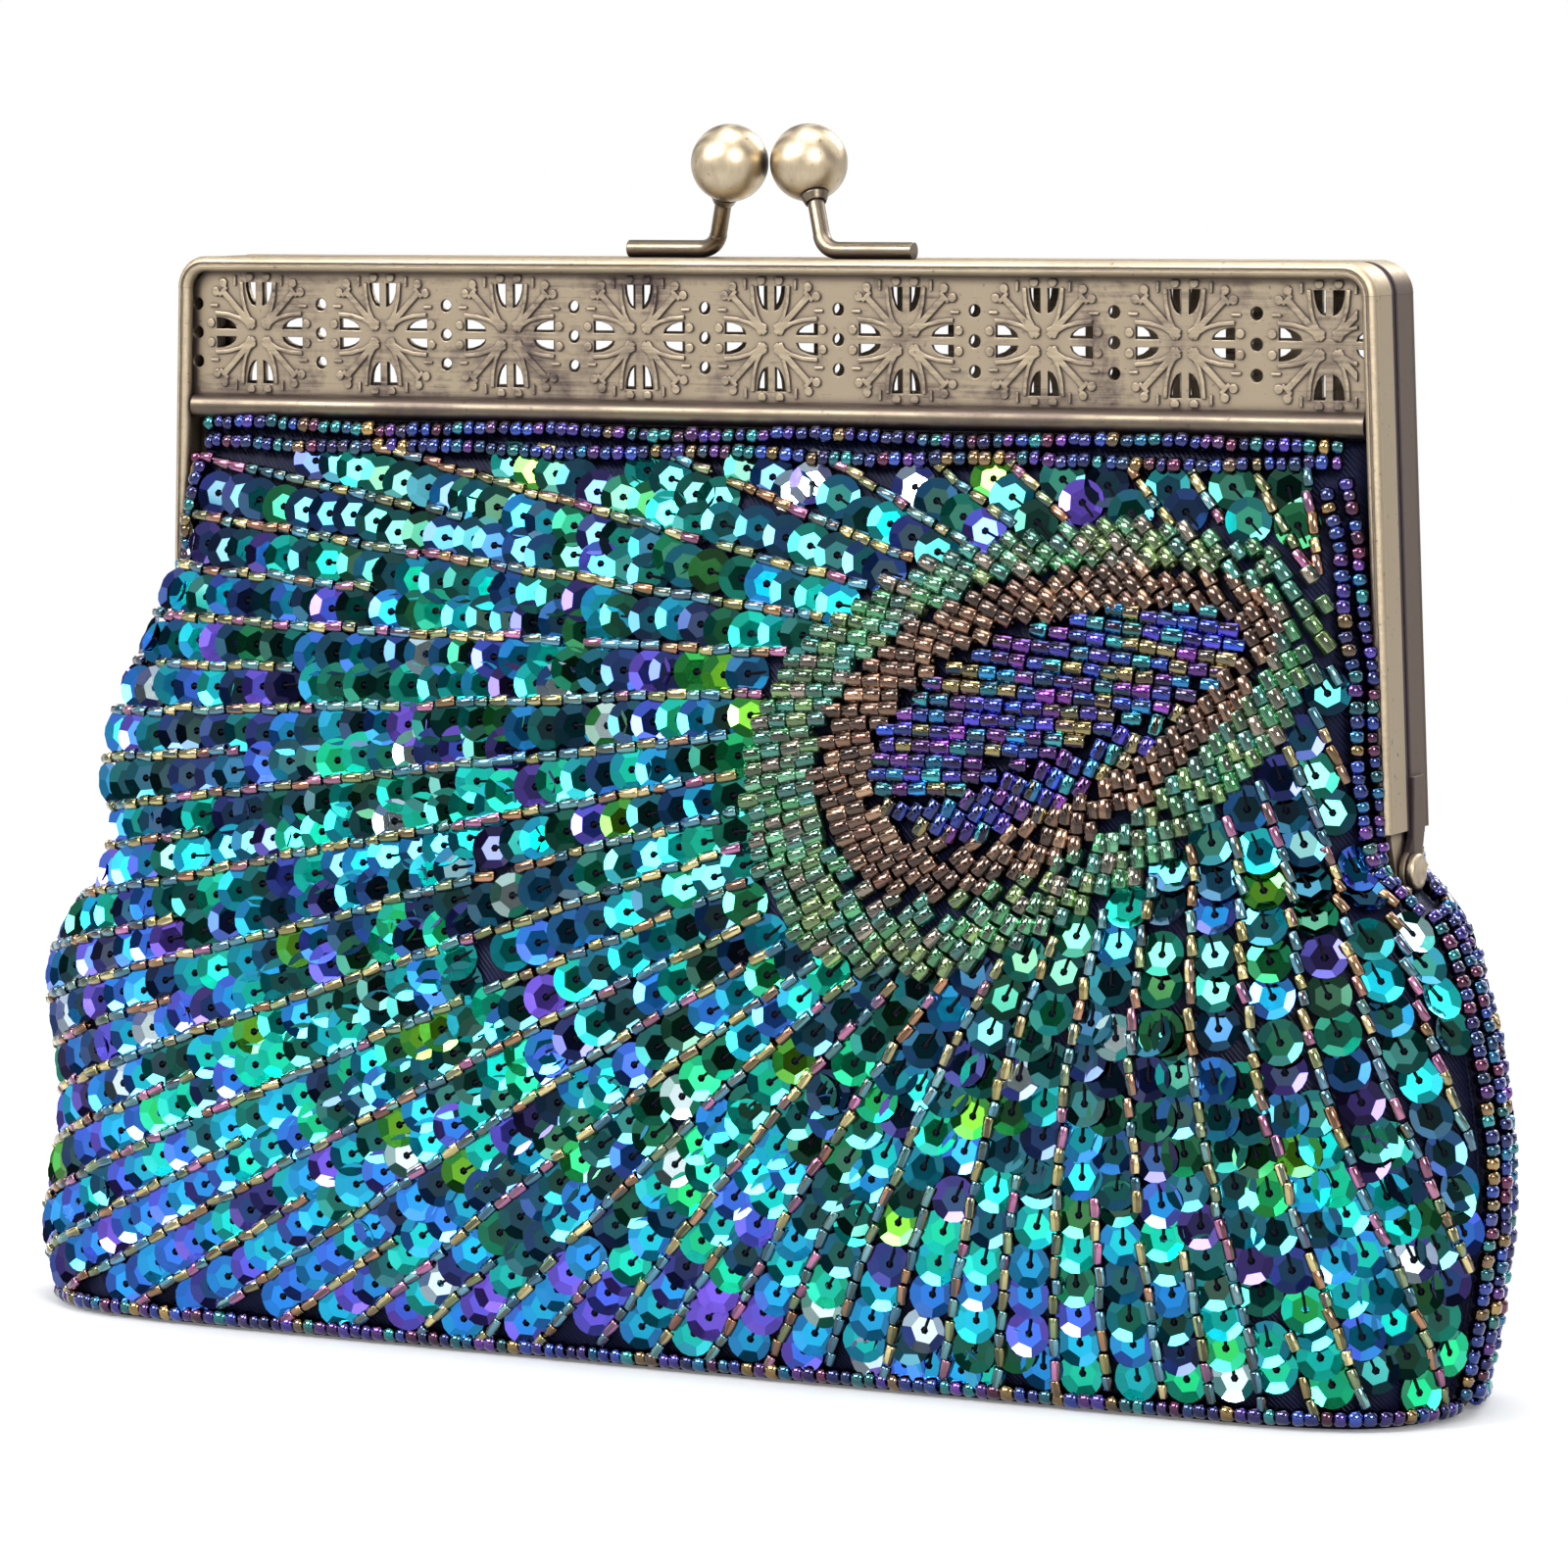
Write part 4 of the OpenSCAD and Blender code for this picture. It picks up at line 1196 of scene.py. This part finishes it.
class BAG_OT_seam_tapes(BagOperator):
    """The tape down each side seam, which takes the place of the small gusset under each rivet"""

    bl_idname = "bag.seam_tapes"
    bl_label = "Side seams and gussets"

    def execute(self, context):
        shape = context.scene.bag_cloth
        for name, side in ENDS.items():
            obj = self.tape(name, side, shape)
            fasten(obj, "satin", "bag", name + "_corner_gusset", finish=navy_satin(shape))
        return {"FINISHED"}

    def tape(self, name, side, shape):
        """A strip over one side seam, bowed outward"""
        low, high = 0.8 * MM, HINGE_Z - 3.4 * MM
        half_width, lift = 4 * MM, 0.25 * MM
        shares = np.linspace(-1, 1, 13)
        points, uvs = [], []
        for z in np.linspace(low, high, 60):
            points.append(seam_places(shape, side, shares, z, lift))
            uvs.append([(half_width * share, z) for share in shares])
        obj = grid_mesh(name + "_seam_tape", points if side > 0 else [row[::-1] for row in points], uvs)
        thicken(obj, 0.4 * MM)
        return obj


def seam_places(shape, side, share, z, lift):
    """Points across a side seam at a height. share runs from -1 at the front to 1 at the rear."""
    front, rear = side_cloth("front", shape), side_cloth("rear", shape)
    heights = np.array([z])
    front_edge = -front.edge(z, False) if side < 0 else front.edge(z, True)
    rear_edge = rear.edge(z, True) if side < 0 else -rear.edge(z, False)
    reach, rise = 1.6 * MM, 0.7 * MM
    inward = -reach if side > 0 else reach
    a = front.seat(np.array([front_edge + inward]), heights, lift)[0][0]
    b = rear.seat(np.array([rear_edge - inward]), heights, lift)[0][0]
    share = np.asarray(share)
    middle, half = (a + b) / 2, (b - a) / 2
    bow = rise * (1 - share ** 2)
    return middle + share[:, None] * half + bow[:, None] * np.array([side, 0, 0])


# Shares of the sequins that are lime, that stray along the scale, that get a painted glint on their middle
# and that are painted as catching the light; the rest are painted in shade
LIME_SHARE, STRAY_SHARE, PAINTED_GLINT_SHARE, PAINTED_LIGHT_SHARE = 0.015, 0.11, 0.03, 0.55


def sequin_tints(across, z, rng):
    """Two tints for a sequin: its middle's and its facets'. Some are painted bright as if catching the light,
    more often low down and less often at the right and the top, and the rest are painted dark as painted
    shade.
    """
    left = ease(-across, 40 * MM, 140 * MM)
    low = 1 - ease(z, 6 * MM, 40 * MM)
    right = ease(across, 0, 80 * MM) * ease(z, 15 * MM, 45 * MM)
    top = ease(z, 100 * MM, 135 * MM)
    share = 0.4 + 0.26 * left + 0.22 * low * (1 - ease(abs(across + 40 * MM), 70 * MM, 130 * MM))
    share += rng.normal(0, 0.17)
    chance = rng.random()
    if chance < LIME_SHARE:
        return LIME, scaled(SEQUIN_SCALE[0], 0.3)
    if chance < STRAY_SHARE:
        share += 0.35
    tint = scale_colour(SEQUIN_SCALE, share)
    other = scale_colour(SEQUIN_SCALE, share + rng.uniform(-0.1, 0.3))
    # Painted glint: a near-white middle with dark facets
    if rng.random() < PAINTED_GLINT_SHARE:
        return PAINTED_GLINT, scaled(other, 0.25)
    # Painted light and shade: a bright copy of the tint, or else a dark copy
    if rng.random() < PAINTED_LIGHT_SHARE + 0.25 * low - 0.44 * max(right, top):
        return scaled(tint, rng.uniform(0.75, 1.3)), scaled(other, rng.uniform(0.35, 0.9))
    return scaled(tint, rng.uniform(0.04, 0.22)), scaled(other, rng.uniform(0.05, 0.38))


# Height of the string of seed beads round the base
BASE_STRING_Z = 2.2 * MM


class Layout:
    """Where the rays and rows lie on one side's cloth"""

    def __init__(self, side, scene):
        self.cloth = side_cloth(side, scene.bag_cloth)
        self.sequins, self.beads = scene.bag_sequins, scene.bag_beads
        self.rng = np.random.default_rng(self.sequins.seed + SIDES.index(side) * 100)
        self.rays, self.rows = spread_rays(self.beads.ray_pitch, self.sequins.widest)

    def border(self, across, z):
        """Width kept free at the edges, where strings of seed beads run beside the legs"""
        beside_leg = np.where(across > 0, 9.0 * MM, 5.4 * MM)
        beside_seam = 4.2 * MM
        return np.where(z > HINGE_Z + 3 * MM, beside_leg, beside_seam)

    def inside(self, across, z, spare):
        """Whether places lie at least spare inside the field of rows"""
        under_rail = 3.6 * MM
        held = (z > BASE_STRING_Z + spare) & (z < NECK_Z - under_rail - spare)
        safe_z = np.clip(z, 0, NECK_Z)
        held &= self.cloth.room(across, safe_z) > self.border(across, safe_z) + 0.25 * spare
        held &= ring_reach(GREEN_RING, (across, z), 0.4 * spare) > 1.0
        return held


class BAG_OT_sequins(BagOperator):
    """The rows of overlapping sequins between the rays, with their stitches"""

    bl_idname = "bag.sequins"
    bl_label = "Sequins"

    def execute(self, context):
        scene = context.scene
        settings = scene.bag_sequins
        sequin, stitch = sequin_shape(settings), stitch_shape(settings)
        black, grey = (0.004, 0.004, 0.007), (0.012, 0.012, 0.02)
        for side in SIDES:
            layout = Layout(side, scene)
            sequins = []
            for row in layout.rows:
                self.fill_row(layout, row, sequins)
            threads = [item._replace(tint=black, tint_low=grey) for item in sequins]
            obj = sew_on(side + "_sequins", seat_all(layout.cloth, sequins), sequin, faceted("Iris sequin"),
                         seed=settings.seed)
            fasten(obj, "sequin", "+" + HALF[side])
            obj = sew_on(side + "_stitches", seat_all(layout.cloth, threads), stitch, faceted("Black thread"),
                         roll=0)
            fasten(obj, "thread", "+" + HALF[side])
        forget(sequin, stitch)
        return {"FINISHED"}

    def fill_row(self, layout, row, sequins):
        """One lane of sequins, or two where the strip is wide"""
        settings, rng = layout.sequins, layout.rng
        way = heading_vector(row.heading)
        aside = across_heading(way)
        pitch = settings.pitch
        narrowest, lane_offset, spare = 3.4 * MM, 0.21, 2.5 * MM
        for side, shift in ((0, 0), (-1, 0), (1, 0.5)):
            count = int((row.end - row.begin) / pitch) + 1
            fall = row.start[1] + way[1] * (row.begin + pitch * np.arange(count))
            slack = 1 + settings.slack * abs(way[1]) * ease(fall, 10 * MM, 34 * MM)
            steps = pitch * slack * rng.uniform(0.9, 1.1, count)
            at = row.begin + pitch * (shift - 0.6) + np.cumsum(steps)
            width = row.gap + row.growth * at
            single = width < settings.two_lanes
            aim = row.start[:, None] + way[:, None] * at + aside[:, None] * (side * lane_offset * width)
            across, z = aim + rng.normal(0, 0.28 * MM, aim.shape)
            wanted = single if side == 0 else ~single
            kept = wanted & (at < row.end) & (width > narrowest) & layout.inside(across, z, spare)
            for x, height in zip(across[kept], z[kept]):
                heading = row.heading + side * 0.1 * row.growth + rng.normal(0, 0.08)
                tilt = settings.tilt + rng.normal(0, 0.05)
                lift = 0.95 * MM + rng.normal(0, 0.06 * MM)
                sequins.append(Sewn(x, height, heading, lift, tilt, (1, 1, 1), *sequin_tints(x, height, rng)))


class BAG_OT_rays(BagOperator):
    """The strings of bugle beads that part the rows of sequins"""

    bl_idname = "bag.rays"
    bl_label = "Bugle rays"

    def execute(self, context):
        scene = context.scene
        beads = scene.bag_beads
        bugle = cut_bead_shape(beads.bugle_length, beads.bugle_width, "bugle")
        for side in SIDES:
            layout = Layout(side, scene)
            rows = []
            for ray in layout.rays:
                self.lay_ray(layout, ray, rows)
            obj = sew_on(side + "_bugle_rays", seat_all(layout.cloth, rows), bugle, faceted("Iris bugle"),
                         spin_axis=(1, 0, 0))
            fasten(obj, "bugle_bead", "+" + HALF[side])
        forget(bugle)
        return {"FINISHED"}

    def lay_ray(self, layout, ray, rows):
        """One string of bugles, a few of which have been lost"""
        beads, rng = layout.beads, layout.rng
        way = heading_vector(ray.heading)
        gap, spare, lost = 0.2 * MM, 0.6 * MM, 0.02
        count = int((FAR - ray.begin) / (0.8 * beads.bugle_length))
        stretch = rng.choice((0.7, 0.92, 1.0, 1.06), count)
        room = stretch * beads.bugle_length + gap
        at = ray.begin + 1.0 * MM + np.cumsum(room) - room / 2
        across, z = ray.start[:, None] + way[:, None] * at + rng.normal(0, 0.16 * MM, (2, count))
        kept = layout.inside(across, z, spare) & (rng.random(count) > lost)
        for x, height, length in zip(across[kept], z[kept], stretch[kept]):
            tint, low = pick(BUGLE_COLOURS, rng), pick(BUGLE_COLOURS, rng)
            lift = 0.5 * beads.bugle_width + 0.55 * MM + rng.normal(0, 0.1 * MM)
            rows.append(Sewn(
                x, height, ray.heading + rng.normal(0, 0.07), lift, rng.normal(0, 0.06), (length, 1, 1),
                scaled(tint, rng.uniform(0.5, 1.2)), scaled(low, 0.16)))


class BAG_OT_eye(BagOperator):
    """The eye of cut beads: green and bronze bands round a blue middle"""

    bl_idname = "bag.eye"
    bl_label = "Peacock eye"

    def execute(self, context):
        scene = context.scene
        beads = scene.bag_beads
        rng = np.random.default_rng(beads.seed)
        bead = cut_bead_shape(beads.eye_length, beads.eye_width, "cut_bead")
        bands = (
            ("green", pack_band(beads, BRONZE_RING, GREEN_RING, rng), GREEN_COLOURS, "Green glass bead"),
            ("bronze", pack_band(beads, BLUE_RING, BRONZE_RING, rng), BRONZE_COLOURS, "Bronze bead"),
            ("blue", pack_middle(beads, rng), BLUE_COLOURS, "Blue iris bead"))
        for side in SIDES:
            cloth = side_cloth(side, scene.bag_cloth)
            for band, places, colours, finish in bands:
                spots = seat_all(cloth, self.rows(places, colours, beads, rng))
                obj = sew_on(f"{side}_{band}_eye_beads", spots, bead, faceted(finish), spin_axis=(1, 0, 0))
                fasten(obj, "eye_bead", "+" + HALF[side])
        forget(bead)
        return {"FINISHED"}

    def rows(self, places, colours, beads, rng):
        """The beads of a band, each a little out of line and with a colour of its own and a dark tint for
        painted shade
        """
        for across, z, heading, stretch in places:
            tint, low = pick(colours, rng), pick(colours, rng)
            lift = 0.5 * beads.eye_width + 0.15 * MM + rng.normal(0, 0.12 * MM)
            yield Sewn(across, z, heading, lift, rng.normal(0, 0.07), (stretch, 1, 1),
                       scaled(tint, rng.uniform(0.3, 1.0)), scaled(low, 0.07))


class BAG_OT_trim(BagOperator):
    """The strings of seed beads under the rails, beside the legs, down the seams and round the base"""

    bl_idname = "bag.trim"
    bl_label = "Seed bead trim"

    def execute(self, context):
        scene = context.scene
        shape, beads = scene.bag_cloth, scene.bag_beads
        self.rng = np.random.default_rng(beads.seed + 50)
        self.size = beads.seed_size
        bead = seed_bead_shape(self.size)
        for side in SIDES:
            cloth = side_cloth(side, shape)
            self.sew(side + "_rail_seed_beads", self.rail(cloth), bead, HALF[side], side + "_rail_beads")
            self.sew(side + "_leg_seed_beads", self.legs(cloth), bead, "+" + HALF[side], side + "_leg_beads")
        for name, side in ENDS.items():
            self.sew(name + "_seam_seed_beads", self.seam(shape, side), bead, "bag", name + "_seam_beads")
        self.sew("base_seed_beads", self.base(shape), bead, "bag", "base_beads")
        forget(bead)
        return {"FINISHED"}

    def sew(self, name, spots, bead, body, replaced):
        """Makes one piece of trim from its spots"""
        obj = sew_on(name, spots, bead, faceted("Seed bead"), spin_axis=(1, 0, 0))
        fasten(obj, "seed_bead", body, replaced)

    def tints(self):
        """Two tints for a seed bead: its colour and a dark tint for painted shade"""
        rng = self.rng
        return scaled(pick(SEED_COLOURS, rng), rng.uniform(0.35, 0.95)), scaled(pick(SEED_COLOURS, rng), 0.12)

    def thread_on(self, spots, path, outs, wobble=0.12 * MM):
        """Beads side by side along a path of points with the directions outward"""
        path, outs = np.asarray(path), np.asarray(outs)
        steps = np.linalg.norm(np.diff(path, axis=0), axis=1)
        arc = np.concatenate([[0], np.cumsum(steps)])
        look_ahead = 0.4 * MM

        def along(values, distance):
            """Values at a distance along the path"""
            return np.array([np.interp(distance, arc, values[:, k]) for k in range(3)])

        at = self.size / 2
        while at < arc[-1] - self.size / 2:
            point, ahead, out = along(path, at), along(path, at + look_ahead), along(outs, at)
            way = ahead - point
            way = way / np.linalg.norm(way) + self.rng.normal(0, 0.09, 3)
            girth = self.rng.uniform(0.9, 1.08)
            length = self.rng.uniform(0.72, 1.04)
            place = point + self.rng.normal(0, wobble, 3) * (1, 0.5, 1)
            spots.append(Spot(place, way, out, (length, girth, girth), *self.tints()))
            at += self.size * (0.4 + 0.41 * length)

    def lay(self, spots, cloth, across, heights, play=0.2 * MM, **how):
        """A string laid on a cloth"""
        path, _, _, out = cloth.seat(across, heights, np.full(len(across), self.size / 2 + play))
        self.thread_on(spots, path, out, **how)

    def rail(self, cloth):
        """Two strings under the rail, which rise a little at their ends and aren't quite straight"""
        spots = []
        for strand, drop in enumerate((1.6 * MM, 4.5 * MM)):
            reach = cloth.edge(NECK_Z - drop, True) - (2.2 + 1.4 * strand) * MM
            across = np.linspace(-reach, reach, 260)
            ends = 0.6 * MM * ease(np.abs(across), 60 * MM, 110 * MM)
            heights = NECK_Z - drop + ends + 0.35 * MM * np.sin(across * 120 + 2 * strand)
            self.lay(spots, cloth, across, heights)
        return spots

    def legs(self, cloth):
        """Two strings beside each leg, which turn out to the side seam under the rivet"""
        spots = []
        for right in (False, True):
            for strand in (0, 1):
                top, foot = NECK_Z - (5.2 + 1.6 * strand) * MM, HINGE_Z - (5 + 3 * strand) * MM
                heights = np.linspace(top, foot, 160)
                turn_out = 1 - ease(heights, HINGE_Z - (6 + 3 * strand) * MM, HINGE_Z + 9 * MM)
                inset = (1 - turn_out) * ((4.3 if right else 2.6) + 2.7 * strand) * MM + turn_out * 2.2 * MM
                across = (cloth.edge(heights, right) - inset) * (1 if right else -1)
                across = across + 0.3 * MM * np.sin(heights * 300 + strand)
                self.lay(spots, cloth, across, heights)
        return spots

    def seam(self, shape, side):
        """Three strings down a side seam"""
        spots = []
        off_seam = (side * (0.5 * self.size + 0.2 * MM), 0, 0)
        heights = np.linspace(2.6 * MM, HINGE_Z - 4.5 * MM, 90)
        for share in (-0.95, 0.0, 0.95):
            path = [seam_places(shape, side, [share], z, 0.5 * MM)[0] + off_seam for z in heights]
            self.thread_on(spots, path, [(side, 0.4 * share, 0)] * len(path))
        return spots

    def base(self, shape):
        """A string round the bottom edge"""
        spots, z, count = [], BASE_STRING_Z, 400
        for side in SIDES:
            cloth = side_cloth(side, shape)
            across = np.linspace(-cloth.edge(z, False), cloth.edge(z, True), count)
            self.lay(spots, cloth, across, np.full(count, z), play=0.1 * MM, wobble=0.04 * MM)
        return spots


class BAG_OT_metal(BagOperator):
    """The finish of the frame, rails, filigree plates, clasp and rivets"""

    bl_idname = "bag.metal"
    bl_label = "Metal"

    def execute(self, context):
        metal = context.scene.bag_metal
        brass, patina = tuple(metal.brass), tuple(metal.patina)
        relief_top = -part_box("front_filigree_plate")[0].y
        relief = relief_cover(relief_top - 0.3 * MM, relief_top - 0.05 * MM)
        plate_finish = brass_material("Filigree brass", brass, patina, 0.85, 0.85, 0.34, cover=relief)
        rail_finish = brass_material(
            "Rail brass", scaled(brass, 0.38), patina, 0.5, 0.8, 0.3, cover=upper_painted_shade)
        clasp_finish = brass_material(
            "Clasp brass", scaled(brass, 1.1), patina, 0.3, 0.35, 0.34, (900, 900, 60))
        wire_finish = brass_material(
            "Wire brass", scaled(brass, 0.45), patina, 0.5, 0.4, 0.26, (300, 900, 900))
        # The rear half's side walls get more painted shade than the front's
        for side, wall_painted_shade in (("front", 0.25), ("rear", 0.82)):
            frame_finish = brass_material(
                side.title() + " frame brass", brass, patina, 0.2, 0.4, 0.48, cover=seam_and_wall_painted_shade(wall_painted_shade))
            finishes = {"frame": frame_finish, "rail": rail_finish, "filigree_plate": plate_finish,
                        "clasp_arm": wire_finish, "clasp_collar": wire_finish, "clasp_ball": clasp_finish}
            for part, finish in finishes.items():
                self.finish(f"{side}_{part}", finish)
        for name in ENDS:
            self.finish(name + "_hinge_rivet", clasp_finish)
        return {"FINISHED"}

    def finish(self, name, material):
        """Gives a piece of the frame its material"""
        slots = frame["nodes"][name].data.materials
        slots.clear()
        slots.append(material)


# ---------------------------------------------------------------- stage

# Soft lamps: place, size in metres and power in watts
LAMPS = {
    "key": ((-0.75, -0.85, 0.75), 0.34, 9), "fill": ((0.85, -0.75, 0.55), 0.25, 3.5),
    "top": ((0.0, 0.0, 1.3), 0.8, 11), "back": ((0.3, 1.0, 0.8), 0.5, 7)}
LAMP_AIM = Vector((0, 0, 0.09))
# Bright round windows that only gloss sees: way towards, cosine at the rim and strength
WINDOWS = (((-0.25, -0.72, 0.62), 0.988, 26), ((0.62, -0.66, 0.42), 0.990, 18))
# Strength of the world for matt surfaces
MATT_LIGHT = 0.5
FLOOR_HALF = 3.0


class BAG_OT_stage(BagOperator):
    """A pale floor, soft lamps and the camera"""

    bl_idname = "bag.stage"
    bl_label = "Stage"

    def execute(self, context):
        settings = context.scene.bag_stage
        self.floor()
        self.world(context.scene)
        self.camera(context.scene, settings)
        for name, (place, size, power) in LAMPS.items():
            self.softbox(name, place, size, power * settings.light)
        context.scene.view_settings.view_transform = "Standard"
        return {"FINISHED"}

    def seen_white(self, tree):
        """1 for the rays that show the background: those of the camera, gloss and glass"""
        rays = node(tree, "ShaderNodeLightPath").outputs
        seen = math_node(tree, "MAXIMUM", rays["Is Camera Ray"], rays["Is Glossy Ray"])
        return math_node(tree, "MAXIMUM", seen, rays["Is Transmission Ray"])

    def floor(self):
        """Pale paper that fades into the white background"""
        corners = [(x * FLOOR_HALF, y * FLOOR_HALF, 0) for x, y in ((-1, -1), (1, -1), (1, 1), (-1, 1))]
        obj = mesh_object("floor", corners, [[0, 1, 2, 3]])
        material, tree, shader = new_material(
            "Pale floor", Roughness=0.6, Specular_IOR_Level=0.0, Emission_Color=(1, 1, 1, 1))
        place = node(tree, "ShaderNodeTexCoord").outputs["Object"]
        grain = node(tree, "ShaderNodeTexNoise", {"Vector": place, "Scale": 60.0}).outputs[0]
        reach = node(tree, "ShaderNodeVectorMath", {0: place}, operation="LENGTH").outputs["Value"]
        far = node(tree, "ShaderNodeMapRange", {
            "Value": reach, "From Min": 0.22, "From Max": 0.75}, interpolation_type="SMOOTHSTEP").outputs[0]
        paper = mix_colour(tree, grain, (0.80, 0.81, 0.82), (0.83, 0.84, 0.85))
        feed(tree, shader.inputs["Base Color"], mix_colour(tree, far, paper, (0, 0, 0)))
        glow = map_range(tree, far, 0.0, 1.0, 0.16, 1.0)
        feed(tree, shader.inputs["Emission Strength"],
             math_node(tree, "MULTIPLY", self.seen_white(tree), glow))
        obj.data.materials.append(material)

    def world(self, scene):
        """White to the camera, grey to matt surfaces and a dim room with bright panels to glossy ones"""
        world = bpy.data.worlds.new("Studio")
        scene.world = world
        world.use_nodes = True
        tree = world.node_tree
        background = tree.nodes["Background"]
        rays = node(tree, "ShaderNodeLightPath").outputs
        way = node(tree, "ShaderNodeTexCoord").outputs["Generated"]
        height = node(tree, "ShaderNodeSeparateXYZ", {0: way}).outputs["Z"]
        walls = node(tree, "ShaderNodeTexWave", {
            "Vector": way, "Scale": 0.9, "Phase Offset": 1.0, "Distortion": 1.5, "Detail": 1.0},
            bands_direction="DIAGONAL").outputs["Fac"]
        panels = map_range(tree, walls, 0.4, 0.52, 0.1, 0.72)
        cores = map_range(tree, walls, 0.93, 0.96, 0.0, 2.5)
        panels = math_node(tree, "ADD", panels, cores)
        horizon = map_range(tree, height, 0.02, 0.12, 0.9, 0.0)
        ceiling = map_range(tree, height, 0.55, 0.95, 0.0, 0.7)
        room = math_node(tree, "MAXIMUM", panels, math_node(tree, "MAXIMUM", horizon, ceiling))
        for window in WINDOWS:
            room = math_node(tree, "ADD", room, self.window(tree, way, *window))
        glossy = math_node(tree, "MAXIMUM", rays["Is Glossy Ray"], rays["Is Transmission Ray"])
        strength = mix_values(tree, glossy, MATT_LIGHT, room)
        shown = mix_values(tree, rays["Is Camera Ray"], strength, 1.0)
        feed(tree, background.inputs["Strength"], shown)
        feed(tree, background.inputs["Color"], (1, 1, 1, 1))

    def window(self, tree, way, towards, edge, strength):
        """Brightness of a round window in the room. edge is the cosine at its rim."""
        towards = Vector(towards).normalized()
        near = node(tree, "ShaderNodeVectorMath", {0: way, 1: towards}, operation="DOT_PRODUCT")
        return map_range(tree, near.outputs["Value"], edge - 0.01, edge, 0.0, strength)

    def softbox(self, name, place, size, power):
        """A square lamp aimed at the bag"""
        lamp = bpy.data.lights.new(name, "AREA")
        lamp.shape, lamp.size, lamp.energy = "SQUARE", size, power
        obj = show(name, lamp)
        obj.location = place
        obj.rotation_euler = (LAMP_AIM - Vector(place)).to_track_quat("-Z", "Y").to_euler()

    def camera(self, scene, settings):
        """The camera, on a circle round the point that it looks at"""
        lens = bpy.data.cameras.new("camera")
        lens.lens = settings.lens
        lens.sensor_width = 36
        lens.clip_end = 20
        obj = show("camera", lens)
        a, e = settings.azimuth, settings.elevation
        back = Vector((math.sin(a) * math.cos(e), -math.cos(a) * math.cos(e), math.sin(e)))
        right = Vector((math.cos(a), math.sin(a), 0))
        up = back.cross(right)
        c, s = math.cos(settings.roll), math.sin(settings.roll)
        turned_right, turned_up = right * c - up * s, right * s + up * c
        target = right * settings.aim_side + Vector((0, 0, settings.aim_height))
        turn = Matrix((turned_right, turned_up, back)).transposed().to_4x4()
        obj.matrix_world = Matrix.Translation(target + back * settings.distance) @ turn
        scene.camera = obj


STEPS = (
    BAG_OT_cloth, BAG_OT_lining, BAG_OT_base, BAG_OT_seam_tapes, BAG_OT_sequins, BAG_OT_rays, BAG_OT_eye,
    BAG_OT_trim, BAG_OT_metal, BAG_OT_stage)
SETTINGS = {
    "bag_cloth": ClothSettings, "bag_sequins": SequinSettings, "bag_beads": BeadSettings,
    "bag_metal": MetalSettings, "bag_stage": StageSettings}


class BAG_PT_panel(bpy.types.Panel):
    """Sizes, colours and steps of the bag"""

    bl_idname = "BAG_PT_panel"
    bl_label = "Evening bag"
    bl_space_type = "VIEW_3D"
    bl_region_type = "UI"
    bl_category = "Evening bag"

    def draw(self, context):
        for step in STEPS:
            self.layout.operator(step.bl_idname)
        for key, group in SETTINGS.items():
            box = self.layout.box()
            for label in group.__annotations__:
                box.prop(getattr(context.scene, key), label)


CLASSES = (*SETTINGS.values(), *STEPS, BAG_PT_panel)


def register():
    for item in CLASSES:
        bpy.utils.register_class(item)
    for key, group in SETTINGS.items():
        setattr(bpy.types.Scene, key, PointerProperty(type=group))


def unregister():
    for key in SETTINGS:
        delattr(bpy.types.Scene, key)
    for item in reversed(CLASSES):
        bpy.utils.unregister_class(item)


def main():
    """Runs every step in order"""
    register()
    for step in STEPS:
        family, name = step.bl_idname.split(".")
        getattr(getattr(bpy.ops, family), name)()


if __name__ == "__main__":
    main()
